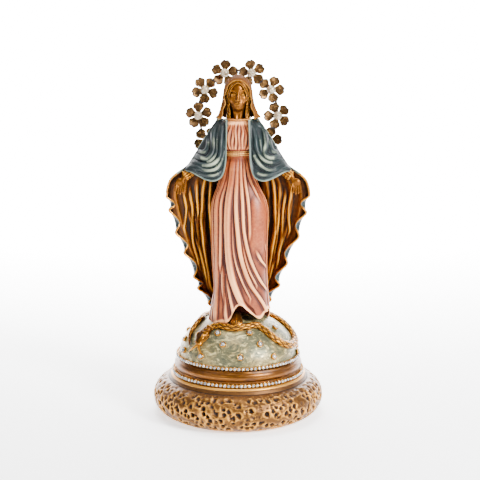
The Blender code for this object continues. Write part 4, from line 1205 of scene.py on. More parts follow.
def fold_height(x, height, angle):
    """How far the folds stand out at each point, in figure units."""
    stretch = 1 / np.maximum(np.abs(np.cos(angle)), 0.35)
    total = np.zeros_like(x)
    for stand, half, path in FOLDS:
        path = sorted(path)
        low, high = path[0][0], path[-1][0]
        away = (x - smooth_through(*path)(height)) * stretch / half
        shape = np.maximum(0, 1 - np.abs(away) ** 1.7)
        shape = shape * shape * (3 - 2 * shape)
        fade = ramp(height, low - 7, low + 5) * ramp(height, high + 4, high - 8)
        total = soft_max(total, stand * shape * fade, 0.22)
    front = ramp(np.cos(angle), 0.15, 0.45)
    knee = 1.7 * np.maximum(0, 1 - ((x - 12.8) / 7.2) ** 2 - ((height - 64) / 21) ** 2) ** 0.8
    total = soft_max(total * front, knee * front, 0.3)
    hollow = 1.1 * np.exp(-(((x + 9.2) / 1.3) ** 2)) * ramp(height, 6, 16) * ramp(height, 62, 50)
    sides = 0.9 * (0.5 + 0.5 * np.cos(angle * 17 + height * 0.02)) * (1 - front)
    return total - hollow * front + sides


def gathers(x, height):
    """The small pleats of the bodice, held in by the collar above and the belt below."""
    total = np.zeros_like(x)
    for i, middle in enumerate(GATHERS):
        spread = mixed(0.62, 1.0, ramp(height, 130, 121)) * mixed(0.8, 1.0, ramp(height, BELT, 116))
        bend = 0.35 * np.sin(height * 0.45 + i * 1.7)
        away = (x - middle * spread - bend) / 1.05
        total = np.maximum(total, np.maximum(0, 1 - away * away) * (0.75 + 0.25 * (i % 2)))
    return total * 0.85 * ramp(height, BELT + 1.2, BELT + 4) * ramp(height, NECKLINE + 0.4, NECKLINE - 2)


def make_gown():
    front, back, levels = ((236, 40, 340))
    half = math.radians(118)
    angle = np.concatenate(
        [np.linspace(-half, half, front), np.linspace(half, math.tau - half, back + 2)[1:-1]])
    share = np.linspace(0, 1, levels)[:, None]
    low = HEM + HEM_RISE(np.degrees((angle + math.pi) % math.tau - math.pi))[None, :]
    height = low + (NECKLINE - low) * share
    angle = angle[None, :] + 0 * height
    skin = gown_skin(angle, height)
    x = skin[..., 0]
    skirt = ramp(height, BELT + 1, BELT - 6)
    push = fold_height(x, height, angle) * skirt - 0.5 * skirt
    push = push + gathers(x, height) * ramp(np.cos(angle), 0.0, 0.3)
    push = push + 0.5 * (np.cos(angle * 26) - 0.4) * ramp(height, BELT + 1.5, BELT + 4) * ramp(np.cos(angle),
        0.2, -0.1)
    push = push - 0.45 * np.exp(-(((height - BELT) / 1.6) ** 2))
    roll = np.exp(-(((height - low) / 0.9) ** 2))
    push = push + 0.35 * roll
    outward = np.stack([x, (skin[..., 1] - GOWN_AXIS) * 1.15, 0 * x], axis=-1)
    rows = skin + unit(outward) * push[..., None]
    lip = rows[:1] - unit(outward)[:1] * 1.3
    inside = rows[:1] - unit(outward)[:1] * 2.6 + [0, 0, 5.0]
    rows = in_frame(np.concatenate([inside, lip, rows]))
    obj = add_piece("gown", grid_mesh("gown", rows, wrap=True, caps=True), TUNIC_PINK)
    return place(store_relief(obj, 4, 44), "tunic_pink", "tunic")


make_gown()

# %% [markdown]
# ## Belt and collar
# Two narrow bands in pale gold hold the gown in: a sash of two twisted cords at the waist, and a piped edge
# at the neck. Both follow the gown's own outline a little way out.

# %% Belt and collar


def girdle(name, node, out, rise, ribs, tilt=0.0):
    """A band round the gown at a node's height, with ribs running along it."""
    low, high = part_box(node)
    middle = ((low.z + high.z) / 2 - FOOT_LEVEL) / UNIT
    half = (high.z - low.z) / 2 / UNIT * rise
    angle = np.linspace(0, math.tau, 220, endpoint=False)
    section = np.arange(28) * math.tau / 28
    up = np.sin(section)
    thick = 0.55 * np.maximum(0, np.cos(section)) ** 0.6 - 0.5 * (np.cos(section) < 0)
    rib = 0.16 * np.cos(up * math.pi * ribs)[None, :] + 0.08 * np.sin(angle * 60)[:, None]
    height = middle + half * up[None, :] + tilt * np.sin(angle * 2)[:, None]
    skin = gown_skin(angle[:, None] + 0 * height, height)
    outward = np.stack([skin[..., 0], skin[..., 1] - GOWN_AXIS, 0 * height], axis=-1)
    push = out + thick[None, :] + rib * (np.cos(section) > 0)
    rows = in_frame(skin + unit(outward) * push[..., None])
    rows = np.concatenate([rows, rows[:1]])
    obj = add_piece(name, grid_mesh(name, rows, wrap=True), TRIM_GOLD)
    return place(store_relief(obj, 3, 12), "trim_gold", node)


girdle("sash", "belt", 0.25, 0.85, 2, 0.12)
girdle("collar_edge", "collar", 0.45, 1.0, 1)
# %% [markdown]
# ## The mantle
# The mantle is one great cloth: it lies over the shoulders and arms, its front edges open over the gown, and
# its back spreads like two wings held up by the hands. It is blue outside and gold inside. It is modelled as
# a back panel and two front panels that share one line, the crest over each shoulder and arm. The back panel
# is a sheet in plan view: out from the spine to the wing's edge, where a border turns toward the viewer. That
# border swings out and in as it goes down, which gives the fluted edge, gold where it opens, blue where it
# folds.

# %% The back panel

MANTLE_THICKNESS = 1.2 * MM
WING_WIDTH = smooth_through(
    (HEM, 12), (0, 13.5), (9, 17), (20, 23.2), (30, 26.5), (40, 30), (50, 34.2), (62, 38.4), (73, 41.0),
    (82, 42.4),
    (88, 42.0), (93.6, 39.6), (97, 36.2), (99.8, 33.4), (104, 29.8), (110.6, 25.2), (120, 19.4), (131, 12.8),
)
WING_EDGE = smooth_through(
    (HEM, 15), (0, 14.6), (9, 13.2), (20, 9.5), (30, 7), (50, 4), (70, 1), (80, -1), (87, -2), (95, -3.0),
    (100, -3.4),
    (110, -1.8), (120, -1.0), (131, 0.6),
)
# Where the fluted edge swings out (whole numbers) and in (halves), by height.
FLUTES = {
    LEFT: smooth_through(
        (2, 5.5), (8, 5), (14, 4.5), (20, 4), (28, 3), (37, 2.5), (44, 2), (51, 1.5), (57.5, 1), (65.6, 0.5),
        (72.8, 0), (77.4, -0.5), (82, -1), (100, -1.1),
    ),
    RIGHT: smooth_through(
        (2, 4.6), (11, 4), (17, 3.5), (22, 3), (29, 2.5), (37, 2), (46, 1.5), (55, 1), (64, 0.5), (71, 0),
        (78, -0.5), (83, -1), (100, -1.1),
    ),
}
# Folds of the lining: how far each stands out, half width, and its place as a share of the wing's width.
WING_FOLDS = {
    LEFT: (
        (1.8, 1.9, ((100, 0.50), (80, 0.53), (60, 0.62), (40, 0.70), (15, 0.78))),
        (1.1, 1.1, ((92, 0.62), (75, 0.63), (50, 0.74), (28, 0.82))),
        (1.5, 1.3, ((88, 0.74), (72, 0.72), (52, 0.84), (36, 0.90))),
        (1.2, 1.0, ((86, 0.83), (72, 0.82), (60, 0.92))),
        (1.0, 1.3, ((90, 0.42), (60, 0.47), (30, 0.55))),
        (0.8, 0.8, ((84, 0.68), (64, 0.70), (44, 0.78), (30, 0.86))),
    ),
    RIGHT: (
        (1.5, 1.5, ((100, 0.52), (80, 0.56), (60, 0.64), (40, 0.72), (15, 0.80))),
        (1.0, 1.0, ((90, 0.63), (74, 0.64), (50, 0.73), (30, 0.82))),
        (1.3, 1.2, ((86, 0.72), (70, 0.72), (50, 0.82), (36, 0.90))),
        (1.1, 0.9, ((86, 0.81), (72, 0.80), (58, 0.90))),
        (1.2, 1.4, ((92, 0.44), (60, 0.50), (30, 0.60))),
        (0.7, 0.8, ((80, 0.76), (62, 0.78), (44, 0.88))),
    ),
}


def back_sheet(side, height, panel, border):
    """Half of the back panel, in figure units, from the spine to the fluted edge, for rows of heights."""
    height = height[:, None]
    reach = np.linspace(0, 1, panel)[None, :] ** 0.8
    width = WING_WIDTH(height)
    drop = SPINE(height) - WING_EDGE(height)
    x = reach * width
    y = WING_EDGE(height) + drop * (1 - reach**2.2)
    fold = np.zeros_like(x)
    for stand, half, path in WING_FOLDS[side]:
        path = sorted(path)
        away = (reach - smooth_through(*path)(height)) * width / half
        fade = ramp(height, path[0][0] - 10, path[0][0] + 4) * ramp(height, path[-1][0] + 3, path[-1][0] - 10)
        fold = soft_max(fold, stand * np.maximum(0, 1 - np.abs(away) ** 1.8) ** 1.3 * fade, 0.2)
    drape = 1.3 * (0.5 - 0.5 * np.cos(reach * 9.0 + height * 0.012 * side + 0.8)) * ramp(reach, 0.62, 0.4)
    drape = drape * ramp(height, 128, 96)
    crease = np.cos(reach * 36 + 1.3 * np.sin(height * 0.055 + side) + reach * height * 0.05)
    crease = 0.75 * (0.5 + 0.5 * crease) ** 3 * ramp(reach, 0.28, 0.45) * ramp(reach, 1.0, 0.93)
    spine = 0.9 * np.cos(x * 0.95 + 0.7 * np.sin(height * 0.05)) * ramp(reach, 0.75, 0.35) * ramp(height, 124,
        92)
    y = y - fold + drape + spine - crease * ramp(height, 97, 86) * ramp(height, 4, 24)
    slope = np.arctan2(-2.2 * drop, width)
    swing = np.cos(math.tau * FLUTES[side](height))
    alpha = np.radians(-118 + 38 * swing)
    alpha = mixed(alpha, math.radians(-78), ramp(height, 80, 86))
    t = np.linspace(0, 1, border + 1)[None, 1:]
    heading = mixed(slope, alpha, ramp(t, 0.0, 0.75))
    length = 6.6 * ramp(height, 102, 96) * ramp(height, 0, 12) * (1 + 0.12 * swing)
    stride = length / border
    edge_x = x[:, -1:] + np.cumsum(np.cos(heading) * stride, axis=1)
    edge_y = y[:, -1:] + np.cumsum(np.sin(heading) * stride, axis=1)
    lift = (0.4 * swing * t**2 * ramp(height, 86, 76) * ramp(height, 2, 14))
    z = np.concatenate([height + 0 * x, height + lift], axis=1)
    return np.stack([side * np.concatenate([x, edge_x], axis=1), np.concatenate([y, edge_y], axis=1), z],
        axis=-1)


def nearness(obj, line, reach):
    """1 on a line of points and 0 beyond a distance from it, stored as hem, where the paint puts a painted
    highlight on the edge.
    """
    points = np.array([vert.co[:] for vert in obj.data.vertices])
    closest = np.full(len(points), 1e9)
    for spot in line:
        closest = np.minimum(closest, ((points - spot) ** 2).sum(axis=1))
    keep(obj.data, "hem", ramp(np.sqrt(closest), reach, 0.35 * reach))


def make_back():
    panel, border, levels = ((72, 22, 226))
    height = np.linspace(-4, 130.6, levels)
    left = back_sheet(LEFT, height, panel, border)
    right = back_sheet(RIGHT, height, panel, border)
    rows = in_frame(np.concatenate([left[:, ::-1], right[:, 1:]], axis=1))
    obj = shell("mantle_back_panel", rows[:, ::-1], MANTLE_THICKNESS, BACK_BLUE, LINING_GOLD, LINING_GOLD)
    shoulder = float(in_frame((0, 0, 97.0))[2])
    for face in obj.data.polygons:
        if face.material_index == 2 and face.center.z > shoulder:
            face.material_index = 0
    rim = np.concatenate([rows[::2, 0], rows[::2, -1]])
    nearness(obj, rim[rim[:, 2] < shoulder], 1.3 * MM)
    return place(store_relief(obj, 4, 44), "mantle_blue", "mantle_back")


make_back()

# %% [markdown]
# ## The two front panels
# Each hangs from its crest over the arm. The cloth is pulled up at the wrist, so its folds sag in J shapes:
# down from the shoulder beside the front edge, then round and up toward the hand. They are drawn as curves,
# and the skin swells where it lies near one.

# %% The front panels

CREST = curve_through(
    (8.2, -0.2, 130.4), (14.0, -0.6, 128.6), (20.4, -1.4, 119.4), (26.2, -2.2, 110.0), (30.2, -3.2, 103.8),
    (33.0, -4.6, 99.2),
)
FRONT_HEM = curve_through(
    (6.9, -8.6, 130.6), (7.0, -10.6, 120.0), (7.3, -11.8, 110.0), (8.0, -13.0, 101.5), (10.2, -14.4, 95.4),
    (14.6, -15.2, 92.8), (19.8, -14.6, 93.6), (25.0, -12.6, 96.0), (29.6, -9.6, 98.2), (32.8, -6.6, 98.2),
)
# Sagging folds: how far each stands out, half width, and points (sideways, height) along it.
SWAGS = {
    LEFT: (
        (1.7, 1.5, ((14.2, 127), (15.6, 121.3), (15.8, 112), (18.8, 106.9), (22.5, 106.6), (27.5, 108.6))),
        (2.0, 1.6, ((10.0, 128), (10.6, 122), (10.9, 112), (12.2, 106.5), (16.5, 103.0), (22.5, 102.6),
        (29, 105))),
        (1.6, 1.4, ((9.2, 112), (10.0, 106), (13.0, 101.0), (18.5, 99.4), (24.5, 100.4), (31.5, 102.6))),
        (1.2, 1.1, ((12.8, 126), (13.2, 116), (14.0, 109.5), (17.8, 105.2), (23, 104.8))),
        (1.1, 1.1, ((18.8, 119), (19.0, 114), (21.5, 110.6), (26.0, 110.8))),
        (1.1, 1.2, ((10.0, 99.5), (13.5, 96.8), (18.5, 96.4), (25.5, 98.6), (33, 100.4))),
    ),
    RIGHT: (
        (2.1, 1.6, ((12.5, 128), (16.0, 125), (17.5, 116), (16.6, 110.3), (18.8, 107.5), (22.5, 106.8),
        (27.5, 108.4))),
        (1.7, 1.5, ((9.6, 127), (11.0, 119), (12.0, 112), (15.2, 106.9), (20.5, 104.3), (28.5, 106.2))),
        (1.6, 1.4, ((9.4, 112), (11.0, 107), (15.0, 102.0), (21.4, 99.6), (29.3, 102.5))),
        (1.1, 1.0, ((13.6, 123), (14.4, 114), (15.4, 108.8), (18.4, 105.8))),
        (1.2, 1.1, ((20.2, 120), (20.6, 114.5), (22.6, 110.8), (27.0, 110.4))),
        (1.1, 1.2, ((10.2, 99.8), (13.8, 97.0), (19.5, 96.8), (26.5, 99.0), (33, 100.8))),
    ),
}


def swag_height(x, height, folds):
    total = np.zeros_like(x)
    for stand, half, path in folds:
        spots = curve_through(*path)(np.linspace(0, 1, 70))
        fade = np.minimum(1, 4.5 * (0.5 - np.abs(np.linspace(0, 1, 70) - 0.5)) + 0.15)
        best = np.zeros_like(x)
        for (px, pz), strength in zip(spots, fade):
            away = ((x - px) ** 2 + (height - pz) ** 2) / half**2
            best = np.maximum(best, strength * np.maximum(0, 1 - away) ** 0.9)
        total = soft_max(total, stand * best, 0.25)
    return total


def make_front(side):
    across, downward = ((190, 150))
    along = np.linspace(0, 1, across)[:, None]
    down = np.linspace(0, 1, downward)[None, :]
    crest, hem = CREST(along[:, 0])[:, None], FRONT_HEM(along[:, 0])[:, None]
    belly = 4 * down * (1 - down) * (1.2 + 3.2 * np.sin(math.pi * along))
    rows = crest + (hem - crest) * down[..., None] + belly[..., None] * np.array([0.25, -1.0, 0.3])
    out = np.array([0.0, -1.0, 0.25])
    sway = ramp(down, 0.0, 0.16) * ramp(down, 1.0, 0.86) * ramp(along, 1.0, 0.86)
    rise = swag_height(rows[..., 0], rows[..., 2], SWAGS[side]) * sway
    pucker = 0.25 * np.sin(along * 34 + down * 9) * np.sin(math.pi * down) ** 0.8
    rows = rows + (1.25 * rise - 0.8 * sway + pucker * sway)[..., None] * out
    edge = 0.5 * np.exp(-((1 - down) / 0.05) ** 2) * (1 + 0.5 * np.sin(along * 25))
    rows = rows + edge[..., None] * out
    rows[..., 0] *= side
    rows = in_frame(rows if side == RIGHT else rows[:, ::-1])
    rim = rows[:, -1 if side == RIGHT else 0]
    name = f"mantle_front_{SIDE_NAMES[side]}_panel"
    obj = shell(name, rows, MANTLE_THICKNESS, MANTLE_BLUE, LINING_GOLD, MANTLE_BLUE)
    nearness(obj, rim[::2], 1.5 * MM)
    return place(store_relief(obj, 4, 44), "mantle_blue", "mantle_front_" + SIDE_NAMES[side])


for side in SIDE_NAMES:
    make_front(side)
# %% [markdown]
# ## Modelling in clay: head, hair, veil and hands
# A face has no simple rule, so it is built as a sculptor builds one in clay: start with an egg, press in the
# eye sockets, add small balls for the brow, nose, lips and chin, and smooth each into the rest. In a computer
# the clay is a block of numbers, each telling how far that spot is from the surface. Adding clay is a soft
# minimum, pressing a hollow is a soft maximum, and OpenVDB finds the surface at the end.

# %% A block of clay


class Clay:
    """A block of distances over a grid, in figure units; below 0 is inside the shape."""

    def __init__(self, low, high, grain):
        self.low = np.array(low, float)
        self.grain = grain * 1
        axes = [np.arange(a, b, self.grain, dtype=np.float32) for a, b in zip(low, high)]
        self.x, self.y, self.z = np.meshgrid(*axes, indexing="ij", sparse=True)
        self.away = np.full([len(axis) for axis in axes], 50.0, np.float32)

    def ball(self, middle, radii, mirror=True):
        """Distance from an egg; mirror makes a second one across the middle of the face."""
        x = np.abs(self.x) if mirror else self.x
        parts = [(axis - at) / r for axis, at, r in zip((x, self.y, self.z), middle, radii)]
        size = np.sqrt(parts[0] ** 2 + parts[1] ** 2 + parts[2] ** 2)
        return (size - 1) * min(radii)

    def rod(self, start, end, start_radius, end_radius, mirror=False):
        """Distance from a rounded rod that may taper."""
        x = np.abs(self.x) if mirror else self.x
        start, end = np.array(start, float), np.array(end, float)
        way = end - start
        along = ((x - start[0]) * way[0] + (self.y - start[1]) * way[1] + (self.z - start[2])
            * way[2]) / way.dot(way)
        along = np.clip(along, 0, 1)
        gap = [(axis - s - w * along) ** 2 for axis, s, w in zip((x, self.y, self.z), start, way)]
        return np.sqrt(gap[0] + gap[1] + gap[2]) - mixed(start_radius, end_radius, along)

    def oval(self, side, front, back, grow=0.0):
        """Distance from a body whose level sections are ovals, wider or narrower with height."""
        level = self.z.reshape(-1)
        wide, fore, aft = (np.float32(f(level) + grow)[None, None, :] for f in (side, front, back))
        deep = np.where(self.y < 0, fore, aft)
        size = np.sqrt((self.x / wide) ** 2 + (self.y / deep) ** 2)
        sides = (size - 1) * np.minimum(wide, deep)
        return np.float32(sides)

    def put(self, shape, blend=0.5):
        self.away = -soft_max(-self.away, -shape, blend)

    def press(self, shape, blend=0.3):
        self.away = soft_max(self.away, -shape, blend)

    def keep_within(self, shape, blend=0.1):
        self.away = soft_max(self.away, shape, blend)

    def surface(self, name, material, turn=None):
        """The clay's skin as a piece in the frame; turn may lean it about a point."""
        import openvdb

        block = openvdb.FloatGrid(50.0)
        block.copyFromArray(np.ascontiguousarray(self.away, np.float32))
        points, triangles, quads = block.convertToPolygons(isovalue=0.0, adaptivity=0.0)
        points = points * self.grain + self.low
        if turn is not None:
            points = turn(points)
        faces = [face[::-1].tolist() for face in triangles] + [face[::-1].tolist() for face in quads]
        mesh = bpy.data.meshes.new(name)
        mesh.from_pydata(in_frame(points).tolist(), [], faces)
        return add_piece(name, mesh, material)


print("clay is ready")

# %% [markdown]
# ## The head
# It is a calm, general face on the proportions of drawing books: eyes at half the height of the head, five
# eye widths across, the nose ending half way from brow to chin, the mouth a third of the way below it. The
# eyes look down, so the upper lids are wide and the lower lids a short line.

# %% Model the head

HEAD_SIDE = smooth_through(
    (127, 4.6), (129.8, 4.3), (133, 3.8), (136.0, 3.9), (138, 4.6), (140.5, 5.5), (143.5, 6.1), (147, 6.4),
    (151, 6.1), (154, 5.0), (156, 3.3), (157.2, 0.8),
)
HEAD_FRONT = smooth_through(
    (127, 5.4), (129.8, 4.4), (133, 4.0), (135.4, 4.9), (137, 7.0), (139, 7.9), (142, 8.2), (147, 8.5),
    (151, 8.5),
    (154, 7.0), (156, 4.6), (157.2, 1.0),
)
HEAD_BACK = smooth_through(
    (127, 3.6), (129.8, 3.4), (133, 3.2), (137, 3.8), (142, 5.8), (147, 6.8), (151, 6.4), (154, 5.2),
    (156, 3.4),
    (157.2, 0.8),
)


def make_head():
    clay = Clay((-7.6, -12, 127.5), (7.6, 7.6, 158), 0.137)
    clay.put(clay.oval(HEAD_SIDE, HEAD_FRONT, HEAD_BACK), 0.01)
    clay.put(clay.rod((2.2, -2.6, 136.5), (0.7, -4.2, 129.0), 1.3, 1.0, True), 0.9)
    clay.press(clay.ball((2.8, -9.6, 146.5), (2.0, 1.35, 1.2)), 1.1)
    clay.put(clay.ball((2.6, -7.55, 148.7), (2.3, 0.75, 0.5)), 1.1)
    clay.put(clay.ball((2.6, -7.5, 146.4), (1.5, 1.05, 1.0)), 0.22)
    clay.put(clay.ball((3.5, -6.4, 143.4), (1.8, 1.2, 1.9)), 1.8)
    clay.put(clay.rod((0, -7.9, 148.0), (0, -9.5, 143.3), 0.8, 0.8), 1.4)
    clay.put(clay.ball((0, -10.0, 142.9), (0.85, 0.75, 0.7)), 0.3)
    clay.put(clay.ball((0.95, -9.15, 142.75), (0.62, 0.75, 0.55)), 0.3)
    clay.press(clay.ball((0.55, -9.5, 142.0), (0.3, 0.5, 0.25)), 0.12)
    clay.put(clay.ball((0, -8.1, 140.4), (2.4, 0.9, 1.9)), 1.3)
    clay.put(clay.ball((0.55, -8.95, 140.85), (1.15, 0.6, 0.42)), 0.22)
    clay.put(clay.ball((0, -8.85, 139.95), (1.35, 0.65, 0.5)), 0.22)
    clay.press(clay.ball((0, -9.65, 140.42), (1.9, 0.5, 0.14)), 0.14)
    clay.press(clay.ball((0, -9.4, 141.7), (0.28, 0.5, 0.6)), 0.25)
    clay.press(clay.ball((0, -9.4, 139.0), (1.2, 0.5, 0.32)), 0.5)
    clay.put(clay.ball((0, -7.45, 137.9), (1.5, 1.25, 1.2)), 0.9)
    lid = np.sqrt(((np.abs(clay.x) - 2.55) / 1.65) ** 2 + ((clay.z - 146.9) / 1.05) ** 2)
    crease = np.maximum(np.abs(lid - 1) * 1.2 - 0.09, np.maximum(clay.y + 6.6, 146.2 - clay.z))
    clay.press(crease, 0.12)
    lash = np.abs(clay.z - 145.95 - 0.14 * (np.abs(clay.x) - 2.55) ** 2) - 0.10
    lash = np.maximum(np.maximum(lash, clay.y + 6.8), np.abs(np.abs(clay.x) - 2.55) - 1.25)
    clay.press(lash, 0.12)
    clay.keep_within(np.maximum(clay.z - 157.1, 128.0 - clay.z), 0.2)
    obj = clay.surface("head_and_neck", FIGURE_GOLD)
    return place(store_relief(obj, 4, 36), "figure_gold", "head")


make_head()

# %% [markdown]
# ## The hair
# The hair is parted in the middle and falls in wavy locks inside the veil to the collar. Its locks run along
# the edge of the face opening, so one number, the distance from that edge, gives every lock its line, and a
# sine of it, swayed as it goes down, gives the locks themselves.

# %% Model the hair

HAIR_SIDE = smooth_through((131, 7.8), (134, 7.4), (138, 7.5), (144, 8.0), (149, 7.9), (153, 6.7), (156, 4.6),
    (158.1, 0.8))
HAIR_FRONT = smooth_through((131, 6.6), (134, 6.2), (138, 6.9), (144, 9.0), (149, 9.7), (153, 8.9),
    (156, 6.2), (158.1, 1.0))
HAIR_BACK = smooth_through((131, 7.2), (138, 7.4), (144, 7.9), (149, 7.7), (153, 6.3), (156, 4.2),
    (158.1, 0.8))


def make_hair():
    clay = Clay((-9.4, -11.6, 128.6), (9.4, 8.8, 159), 0.195)
    side = np.abs(clay.x)
    climb = np.maximum(clay.z - 143.0, 0) / 10.2
    opening = np.sqrt((side / mixed(4.7, 5.4, ramp(clay.z, 133, 142))) ** 1.7 + climb**1.9) - 1
    opening = np.float32(opening * 5.2)
    sway = 0.55 * np.sin(clay.z * 1.05 + opening * 0.9 + 0.8 * np.sign(clay.x)) * ramp(clay.z, 149, 143)
    line = opening + sway + 0.25 * np.sin(clay.z * 0.55 + clay.y)
    locks = 0.24 * np.cos(line * math.tau / 1.25) + 0.13 * np.cos(line * math.tau / 0.52 + clay.z * 0.3)
    body = clay.oval(HAIR_SIDE, HAIR_FRONT, HAIR_BACK) - np.float32(locks)
    clay.away = np.float32(body)
    clay.press(clay.oval(HAIR_SIDE, HAIR_FRONT, HAIR_BACK, -2.6), 0.2)
    front = np.maximum(opening - 0.0, clay.y + 1.0)
    clay.press(np.float32(front), 0.35)
    ends = 130.4 + 0.8 * np.cos(line * math.tau / 1.25 + 0.6) - clay.z
    clay.keep_within(np.float32(np.maximum(clay.z - 157.9, ends)), 0.5)
    obj = clay.surface("wavy_hair", HAIR_GOLD)
    return place(store_relief(obj, 4, 30), "hair_gold", "hair")


make_hair()

# %% [markdown]
# ## The veil
# A small hood of pale gold over the hair. Its edge is turned back in a soft roll over the brow, and it flares
# on to the shoulders in shallow folds.

# %% Model the veil

VEIL_SIDE = smooth_through(
    (129.5, 14.2), (132, 13.2), (134, 12.0), (139, 10.2), (145, 9.5), (149, 9.1), (153, 8.0), (156.4, 5.6),
    (158.9, 1.0)
)
VEIL_FRONT = smooth_through((129.5, 5.8), (132, 6.3), (139, 8.0), (145, 9.8), (149, 10.7), (153, 10.2),
    (156.4, 7.4), (158.9, 1.2))
VEIL_BACK = smooth_through((129.5, 9.6), (132, 9.3), (139, 9.3), (145, 9.4), (149, 9.1), (153, 7.8),
    (156.4, 5.2), (158.9, 1.0))


def make_veil():
    clay = Clay((-15.6, -12, 129), (15.6, 10.8, 160), 0.195)
    around = np.arctan2(clay.x, -clay.y)
    folds = 0.8 * np.cos(around * 9 + np.sign(clay.x) * (clay.z - 130) * 0.10) * ramp(clay.z, 153, 135)
    folds = folds + 0.4 * np.cos(around * 21 + clay.z * 0.2) * ramp(clay.z, 157, 138)
    clay.away = np.float32(clay.oval(VEIL_SIDE, VEIL_FRONT, VEIL_BACK) - folds * 0.9)
    clay.press(clay.oval(VEIL_SIDE, VEIL_FRONT, VEIL_BACK, -1.2), 0.15)
    half = mixed(10.4, 8.2, ramp(clay.z, 131, 141)) + 0.35 * np.sin(clay.z * 0.8 + np.sign(clay.x))
    climb = np.maximum(clay.z - 144.0, 0) / 11.4
    opening = np.sqrt((np.abs(clay.x) / half) ** 2 + climb**2) - 1
    opening = np.float32(opening * 6)
    clay.press(np.maximum(opening, clay.y + 0.5), 0.5)
    rolled = clay.oval(VEIL_SIDE, VEIL_FRONT, VEIL_BACK, -0.45)
    roll = np.sqrt(rolled**2 + (opening - 0.45) ** 2) - 0.62
    roll = np.maximum(roll, clay.y + 1.6)
    clay.put(np.float32(roll), 0.3)
    clay.keep_within(np.float32(np.maximum(clay.z - 158.8, 130.9 + 0.8 * np.cos(around * 9) - clay.z)), 0.4)
    obj = clay.surface("veil_hood", VEIL_GOLD)
    return place(store_relief(obj, 4, 30), "veil_gold", "veil")


make_veil()
# %% [markdown]
# ## Hands and cuffs
# The arms are lowered and open, the palms to the front and the fingers pointing down and a little forward. A
# hand is a flat palm, four tapering fingers of different lengths held together, and a thumb. The cuff is a
# gathered tube of gold cloth at the wrist. Both hands come from one recipe in clay, mirrored.

# %% Model the hands

WRIST = np.array([34.2, -7.4, 94.2])
FINGERS = (
    ((35.2, -8.6, 89.4), (34.9, -10.0, 87.0), (34.9, -11.3, 85.4), 0.80),
    ((36.5, -8.9, 89.0), (36.4, -10.4, 86.3), (36.4, -11.8, 84.6), 0.84),
    ((37.8, -9.0, 89.0), (37.9, -10.5, 86.5), (38.0, -11.8, 84.9), 0.82),
    ((39.0, -8.9, 89.4), (39.3, -10.1, 87.2), (39.5, -11.2, 85.8), 0.72),
)


def make_hand(side):
    clay = Clay((31, -13.4, 80), (42.5, -3.5, 99), 0.11)
    clay.put(clay.rod(WRIST + [-0.8, 0.6, 2.2], WRIST + [0.6, -0.5, -1.4], 1.75, 1.5), 0.01)
    clay.put(clay.ball((36.9, -8.5, 91.0), (2.75, 1.4, 3.0), False), 0.8)
    for knuckle, joint, tip, thick in FINGERS:
        clay.put(clay.rod(knuckle, joint, thick * 1.15, thick), 0.22)
        clay.put(clay.rod(joint, tip, thick, thick * 0.72), 0.12)
    clay.put(clay.rod((34.9, -8.4, 91.4), (33.7, -10.0, 88.8), 0.85, 0.7), 0.5)
    clay.put(clay.rod((33.7, -10.0, 88.8), (33.5, -10.9, 86.8), 0.68, 0.5), 0.15)
    clay.press(clay.ball((36.9, -10.1, 89.8), (1.3, 0.55, 1.7), False), 0.5)

    def mirrored(points):
        return points * [side, 1, 1]

    obj = clay.surface("open_hand_" + SIDE_NAMES[side], FIGURE_GOLD, mirrored)
    return place(store_relief(obj, 4, 26), "figure_gold", "hand_" + SIDE_NAMES[side])


for side in SIDE_NAMES:
    make_hand(side)

# %% [markdown]
# ## Sleeves
# The arms are hidden by the mantle down to the wrist, where a gathered cuff shows. A tube along a curve from
# shoulder to wrist gives both: its radius is gathered lengthwise and ringed near the end, and then drawn in.

# %% The sleeves and their cuffs

SLEEVE_MIDDLE = curve_through((7.0, -1.8, 119.0), (17.0, -2.6, 109.4), (26.0, -4.2, 100.8),
    (34.4, -7.2, 94.6))
SLEEVE_HALF = smooth_through((0, 3.4), (0.4, 3.2), (0.8, 2.7), (0.93, 2.9), (0.98, 2.5), (1, 1.5))


def make_sleeve(side):
    t = np.linspace(0, 1, 150)
    turn = np.arange(72) * math.tau / 72
    middle = SLEEVE_MIDDLE(t)
    onward = unit(np.gradient(middle, axis=0))
    aside = unit(np.cross(onward, [0.0, 1.0, 0.0]))
    forward = np.cross(aside, onward)
    gather = 0.22 * np.cos(turn[None, :] * 11) * ramp(t, 0.5, 0.95)[:, None]
    rings = 0.26 * np.cos(t * 105)[:, None] * ramp(t, 0.6, 0.9)[:,
        None] * (0.6 + 0.4 * np.cos(turn * 2))[None, :]
    radius = SLEEVE_HALF(t)[:, None] + gather + rings
    rows = middle[:, None] + (radius * np.cos(turn))[..., None] * aside[:, None]
    rows = rows + (radius * np.sin(turn) * 0.8)[..., None] * forward[:, None]
    rows[..., 0] *= side
    name = f"sleeve_{SIDE_NAMES[side]}_cuff"
    obj = add_piece(name, grid_mesh(name, in_frame(rows), wrap=True, caps=True), FIGURE_GOLD)
    return place(store_relief(obj, 4, 26), "figure_gold", "sleeve_" + SIDE_NAMES[side])


for side in SIDE_NAMES:
    make_sleeve(side)
# %% [markdown]
# ## The halo
# A bronze wire bent to an arch, its two legs glued into the mantle's back. On it sit eight filigree flowers
# stamped from thin metal, each with five heart-shaped petals pressed into a cup, and a pearl glued in each.
# One petal is drawn as a small sheet; a recipe turns five of them round, and a second one sets the flowers.

# %% One petal and the recipe for a flower

PETAL_LENGTH = 8.2
WIRE_RADIUS = 0.8 * MM


